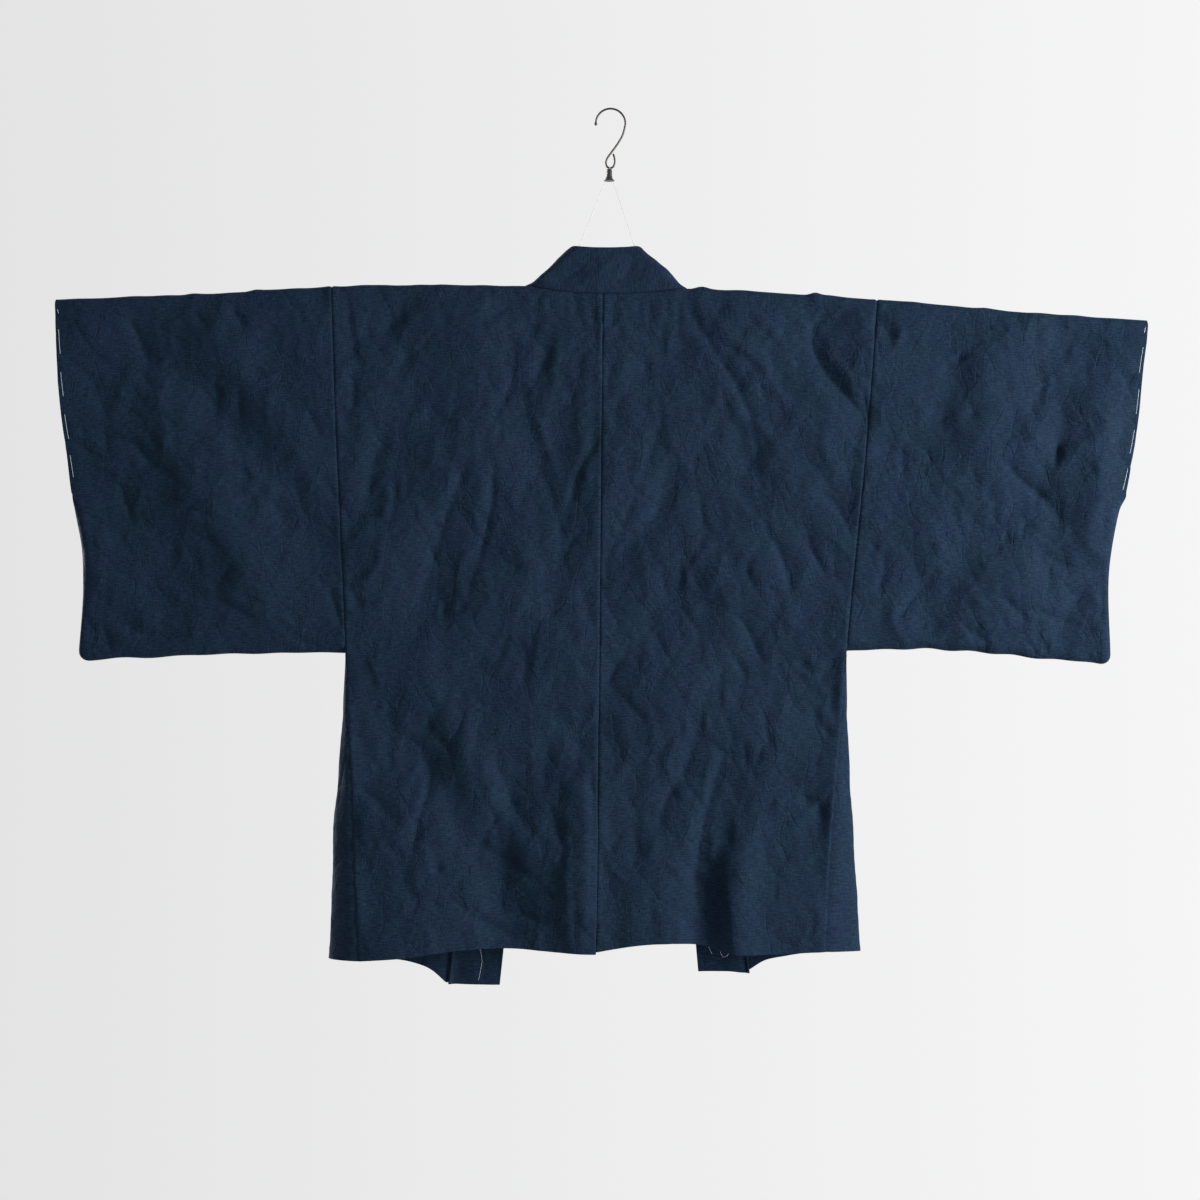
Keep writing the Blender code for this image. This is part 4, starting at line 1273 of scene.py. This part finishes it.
def dowel_wood():
    finish = Finish("pale_dowel_wood")
    place = finish.place()
    grain = finish.noise(finish.stretched(place, (9.0, 700.0, 700.0)), 1.0, 4.0, 0.6)
    colour = finish.blend(grain, WOOD_GRAIN, WOOD_PALE)
    normal = finish.bump(grain, 0.0002, 0.6)
    return finish.set(Base_Color=colour, Roughness=grain * 0.2 + 0.45, Normal=normal)


def rod():
    along = [lerp(*ROD_ENDS, i / ROD_STEPS) for i in range(ROD_STEPS + 1)]
    bowed = [(x, 0, -rod_drop(x)) for x in along]
    made = tube("rod_dowel", [bowed], ROD_RADIUS, dowel_wood(), 6)
    spots = made.data.splines[0].points
    spots[0].radius = spots[-1].radius = 0.9
    return made


dowel = rod()
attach(dowel, "root")
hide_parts("rod")

# ---------------------------------------------------------------------------------------------
# The two hanging cords: thin twisted cotton, from inside the cap past the collar's top corners
# down to the rod, and once round it.

CORD_RADIUS = 0.0005
CORD_TURNS = 1.25
CORD_TURN_STEPS = 20
CORD_TWIST = 0.0022
PLY_RADIUS = 0.00033
CORD_SHADED = (0.46, 0.45, 0.43, 1)
CORD_PALE = (0.62, 0.61, 0.59, 1)
CORDS = {
    "left": {"out": -1, "top_x": -0.0062, "lip_x": -0.0375, "rod_x": -0.0530},
    "right": {"out": 1, "top_x": 0.0034, "lip_x": 0.0295, "rod_x": 0.0440},
}
COLLAR_LIP_DROP = 0.166
CAP_X = -0.0015
CAP_FOOT_DROP = 0.0863


def cord_route(side):
    """The middle of the cord, from the cap to its last turn round the rod."""
    run = CORDS[side]
    wrap = ROD_RADIUS + 0.0003 + CORD_RADIUS
    level = rod_drop(run["rod_x"])
    straight = run_through(
        [
            (run["top_x"], 0, -(CAP_FOOT_DROP + 0.0006)),
            (run["lip_x"], -0.0012, -COLLAR_LIP_DROP),
            (run["rod_x"], -wrap, -(level - 0.004)),
        ],
        40,
    )
    turns = []
    for i in range(int(CORD_TURNS * CORD_TURN_STEPS) + 1):
        turn = 2 * pi * i / CORD_TURN_STEPS
        x = run["rod_x"] + run["out"] * (0.0008 + 0.0015 * i / CORD_TURN_STEPS)
        turns.append((x, -wrap * cos(turn), -(level + wrap * sin(turn))))
    return np.vstack([straight, turns])


def lengths_along(points):
    steps = np.linalg.norm(np.diff(points, axis=0), axis=1)
    return np.concatenate([[0], np.cumsum(steps)])


def even_steps(points, step):
    """The same line, with points at an even spacing."""
    lengths = lengths_along(points)
    wanted = np.arange(0, lengths[-1], step)
    return np.stack([np.interp(wanted, lengths, points[:, i]) for i in range(3)], axis=-1)


def plies(points, count=3):
    """The cord's plies, wound round its middle line."""
    ahead = np.gradient(points, axis=0)
    ahead /= np.linalg.norm(ahead, axis=1, keepdims=True)
    first = np.cross(ahead, (0.31, 0.90, 0.30))
    first /= np.linalg.norm(first, axis=1, keepdims=True)
    second = np.cross(ahead, first)
    lengths = lengths_along(points)
    runs = []
    for ply in range(count):
        turn = (2 * pi * (lengths / CORD_TWIST + ply / count))[:, None]
        runs.append(points + PLY_RADIUS * 0.55 * (first * np.cos(turn) + second * np.sin(turn)))
    return runs


cord_finish = twisted_cotton("undyed_cotton_cord", 700.0, 3.0, CORD_SHADED, CORD_PALE, 0.75)
for side in ("left", "right"):
    middle = even_steps(cord_route(side), CORD_TWIST / 9)
    cord = tube("twisted_cord_" + side, plies(middle), PLY_RADIUS, cord_finish, 1)
    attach(cord, "root")
    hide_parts("cord_" + side)

# ---------------------------------------------------------------------------------------------
# The cap: a small turned cup of black plastic that gathers the cords, flared at its foot.

CAP_TOP_DROP = 0.0722
PLASTIC_BLACK = (0.008, 0.008, 0.009, 1)
PLASTIC_SCUFFED = (0.022, 0.022, 0.024, 1)
CAP_PROFILE = table(
    ("radius", "drop"),
    (0.0, CAP_TOP_DROP),
    (0.0026, CAP_TOP_DROP),
    (0.0031, 0.07235),
    (0.0033, 0.0730),
    (0.0034, 0.0800),
    (0.0041, 0.0832),
    (0.0052, 0.0847),
    (0.0063, 0.0858),
    (0.0064, 0.0861),
    (0.0060, CAP_FOOT_DROP),
    (0.0040, CAP_FOOT_DROP),
    (0.0, 0.0860),
)


def black_plastic():
    finish = Finish("black_plastic")
    place = finish.place()
    scuffs = finish.noise(finish.stretched(place, (300.0, 300.0, 1200.0)), 1.0, 3.0)
    colour = finish.blend(scuffs, PLASTIC_BLACK, PLASTIC_SCUFFED)
    normal = finish.bump(scuffs, 0.0002, 0.4)
    return finish.set(Base_Color=colour, Roughness=scuffs * 0.25 + 0.22, Normal=normal)


def cap():
    """A circle of the first radius, extruded down the profile ring by ring."""
    bpy.ops.object.select_all(action="DESELECT")
    centre = (CAP_X, 0, -CAP_TOP_DROP)
    bpy.ops.mesh.primitive_circle_add(
        vertices=40, radius=1.0, location=centre, fill_type="NOTHING"
    )
    made = bpy.context.object
    made.name = made.data.name = "cord_cap"
    bpy.ops.object.transform_apply(location=True, rotation=True, scale=True)
    bpy.ops.object.mode_set(mode="EDIT")
    bpy.ops.mesh.select_all(action="SELECT")
    reach, level = 1.0, CAP_TOP_DROP
    for i, (radius, drop) in enumerate(zip(*CAP_PROFILE.values())):
        if i:
            down = {"value": (0, 0, level - drop)}
            bpy.ops.mesh.extrude_region_move(TRANSFORM_OT_translate=down)
        wanted = max(radius, 0.00005)
        bpy.ops.transform.resize(value=(wanted / reach,) * 2 + (1,), center_override=centre)
        reach, level = wanted, drop
    bpy.ops.mesh.select_all(action="SELECT")
    bpy.ops.mesh.remove_doubles(threshold=0.0001)
    bpy.ops.mesh.normals_make_consistent(inside=False)
    bpy.ops.object.mode_set(mode="OBJECT")
    bpy.ops.object.shade_smooth_by_angle(angle=radians(50))
    made.data.materials.append(black_plastic())
    return made


cord_cap = cap()
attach(cord_cap, "root")
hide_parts("cap")

# ---------------------------------------------------------------------------------------------
# The hook: one length of dark steel wire, bent round a wide crown with a rounded tip, and closed
# into an eye at the foot of its shank.

WIRE_RADIUS = 0.0012
HOOK_RADIUS = 0.0178
HOOK_CENTRE_DROP = HOOK_RADIUS - WIRE_RADIUS
HOOK_ARC = (180.0, -12.0)
ARC_STEPS = 60
ARC_LEFT_OFF = 4
STEEL_DARK = (0.030, 0.026, 0.023, 1)
STEEL_WORN = (0.105, 0.090, 0.078, 1)
HOOK_SHANK = table(
    ("x", "drop"),
    (0.0143, 0.0315),
    (0.0079, 0.0424),
    (0.0018, 0.0508),
    (-0.0040, 0.0590),
    (-0.0056, 0.0645),
    (-0.0040, 0.0692),
    (-0.0004, 0.0706),
    (0.0033, 0.0690),
    (0.0049, 0.0644),
    (0.0047, 0.0590),
    (0.0033, 0.0536),
)
HOOK_TIP = table(
    ("back", "swell"),
    (0.0026, 0.10),
    (0.0025, 0.70),
    (0.0022, 1.15),
    (0.0017, 1.50),
    (0.0011, 1.65),
    (0.0004, 1.55),
    (-0.0003, 1.20),
)


def dark_steel():
    finish = Finish("dark_steel_wire")
    place = finish.place()
    patina = finish.noise(place, 260.0, 4.0, 0.6)
    colour = finish.blend(patina, STEEL_DARK, STEEL_WORN)
    normal = finish.bump(patina, 0.0001, 0.5)
    finish.set(Metallic=0.9)
    return finish.set(Base_Color=colour, Roughness=patina * 0.3 + 0.24, Normal=normal)


def hook():
    arc = []
    for i in range(ARC_STEPS + 1):
        angle = radians(lerp(*HOOK_ARC, i / ARC_STEPS))
        arc.append((HOOK_RADIUS * cos(angle), 0, HOOK_RADIUS * sin(angle) - HOOK_CENTRE_DROP))
    tip = arc[0]
    ball = [(tip[0], 0, tip[2] - back) for back in HOOK_TIP["back"]]
    shank = [(x, 0, -drop) for x, drop in zip(*HOOK_SHANK.values())]
    bend = run_through([arc[-1 - ARC_LEFT_OFF], arc[-1], *shank], 10)
    wire = ball + arc[1 : -1 - ARC_LEFT_OFF] + list(bend)
    made = tube("wire_hook", [wire], WIRE_RADIUS, dark_steel(), 6)
    for spot, swell in zip(made.data.splines[0].points, HOOK_TIP["swell"]):
        spot.radius = swell
    return made


wire_hook = hook()
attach(wire_hook, "root")
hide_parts("hook")

# ---------------------------------------------------------------------------------------------
# The white thread that ties the cap to the hook: a loop over the wire at the foot of the eye,
# with both ends down to the top of the cap.

TIE_RADIUS = 0.00045
TIE_BEND = 0.0020
TIE_X = -0.0010


def thread_tie():
    eye_drop = HOOK_SHANK["drop"][6]
    ends = CAP_TOP_DROP - 0.00035
    points = [(TIE_X, -TIE_BEND, -ends)]
    for i in range(25):
        turn = pi * i / 24
        points.append((TIE_X, -TIE_BEND * cos(turn), -(eye_drop - TIE_BEND * sin(turn))))
    points.append((TIE_X, TIE_BEND, -ends))
    return tube("tie_thread", [points], TIE_RADIUS, thread_finish, 2)


tie = thread_tie()
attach(tie, "root")
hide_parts("thread_tie")

# ---------------------------------------------------------------------------------------------
# The studio: a pale floor well below the jacket, pale air all round, a large soft window light
# from the right with a weaker one on the fronts, and the camera level with the jacket's middle.

FLOOR_DROP = 1.62
FLOOR_HALF = 1.0
CAMERA_AT = (-0.0127, -2.6, -0.593)
CAMERA_LENS = 64.5
FLOOR_GREY = (0.30, 0.30, 0.297, 1)
AIR_LEFT = (0.765, 0.765, 0.768, 1)
AIR_RIGHT = (0.925, 0.925, 0.932, 1)
AIR_NEAR = (0.56, 0.57, 0.59, 1)


def floor():
    bpy.ops.object.select_all(action="DESELECT")
    bpy.ops.mesh.primitive_plane_add(size=2 * FLOOR_HALF, location=(0, 0, -FLOOR_DROP))
    made = bpy.context.object
    made.name = "floor"
    made.data.materials.append(Finish("pale_floor").set(Base_Color=FLOOR_GREY, Roughness=0.9))
    return made


def studio_air():
    """Light from all round: brighter on the right and beyond the jacket than on the near side."""
    air = Finish("studio_air", "worlds", "Background")
    way = air.node("ShaderNodeTexCoord", {}, {}, "Generated")
    aside = air.node("ShaderNodeSeparateXYZ", {}, {0: way}, "X")
    beyond = air.node("ShaderNodeSeparateXYZ", {}, {0: way}, "Y")
    far = air.blend(air.spread(aside, -0.30, 0.30), AIR_LEFT, AIR_RIGHT)
    return air.set(Color=air.blend(air.spread(beyond, -0.3, 0.7), AIR_NEAR, far))


def window_light(name, place, aim, size, power, colour):
    data = bpy.data.lights.new(name, "AREA")
    data.shape = "RECTANGLE"
    data.size, data.size_y = size
    data.energy = power
    data.color = colour
    made = bpy.data.objects.new(name, data)
    bpy.context.collection.objects.link(made)
    made.location = place
    made.rotation_euler = (Vector(aim) - Vector(place)).to_track_quat("-Z", "Y").to_euler()
    made.visible_camera = False


floor()
bpy.context.scene.world = studio_air()
cool, white = (0.97, 0.99, 1.0), (1.0, 1.0, 1.0)
window_light("window", (2.1, -1.15, -0.42), (0.2, 0.0, -0.6), (0.9, 1.6), 114.0, cool)
window_light("front_fill", (-2.2, 1.4, 0.1), (0.0, 0.0, -0.6), (1.0, 1.6), 105.0, white)

camera_data = bpy.data.cameras.new("camera")
camera_data.lens = CAMERA_LENS
camera = bpy.data.objects.new("camera", camera_data)
bpy.context.collection.objects.link(camera)
camera.location = CAMERA_AT
camera.rotation_euler = (radians(90), 0, 0)
bpy.context.scene.camera = camera
bpy.context.scene.view_settings.view_transform = "Standard"
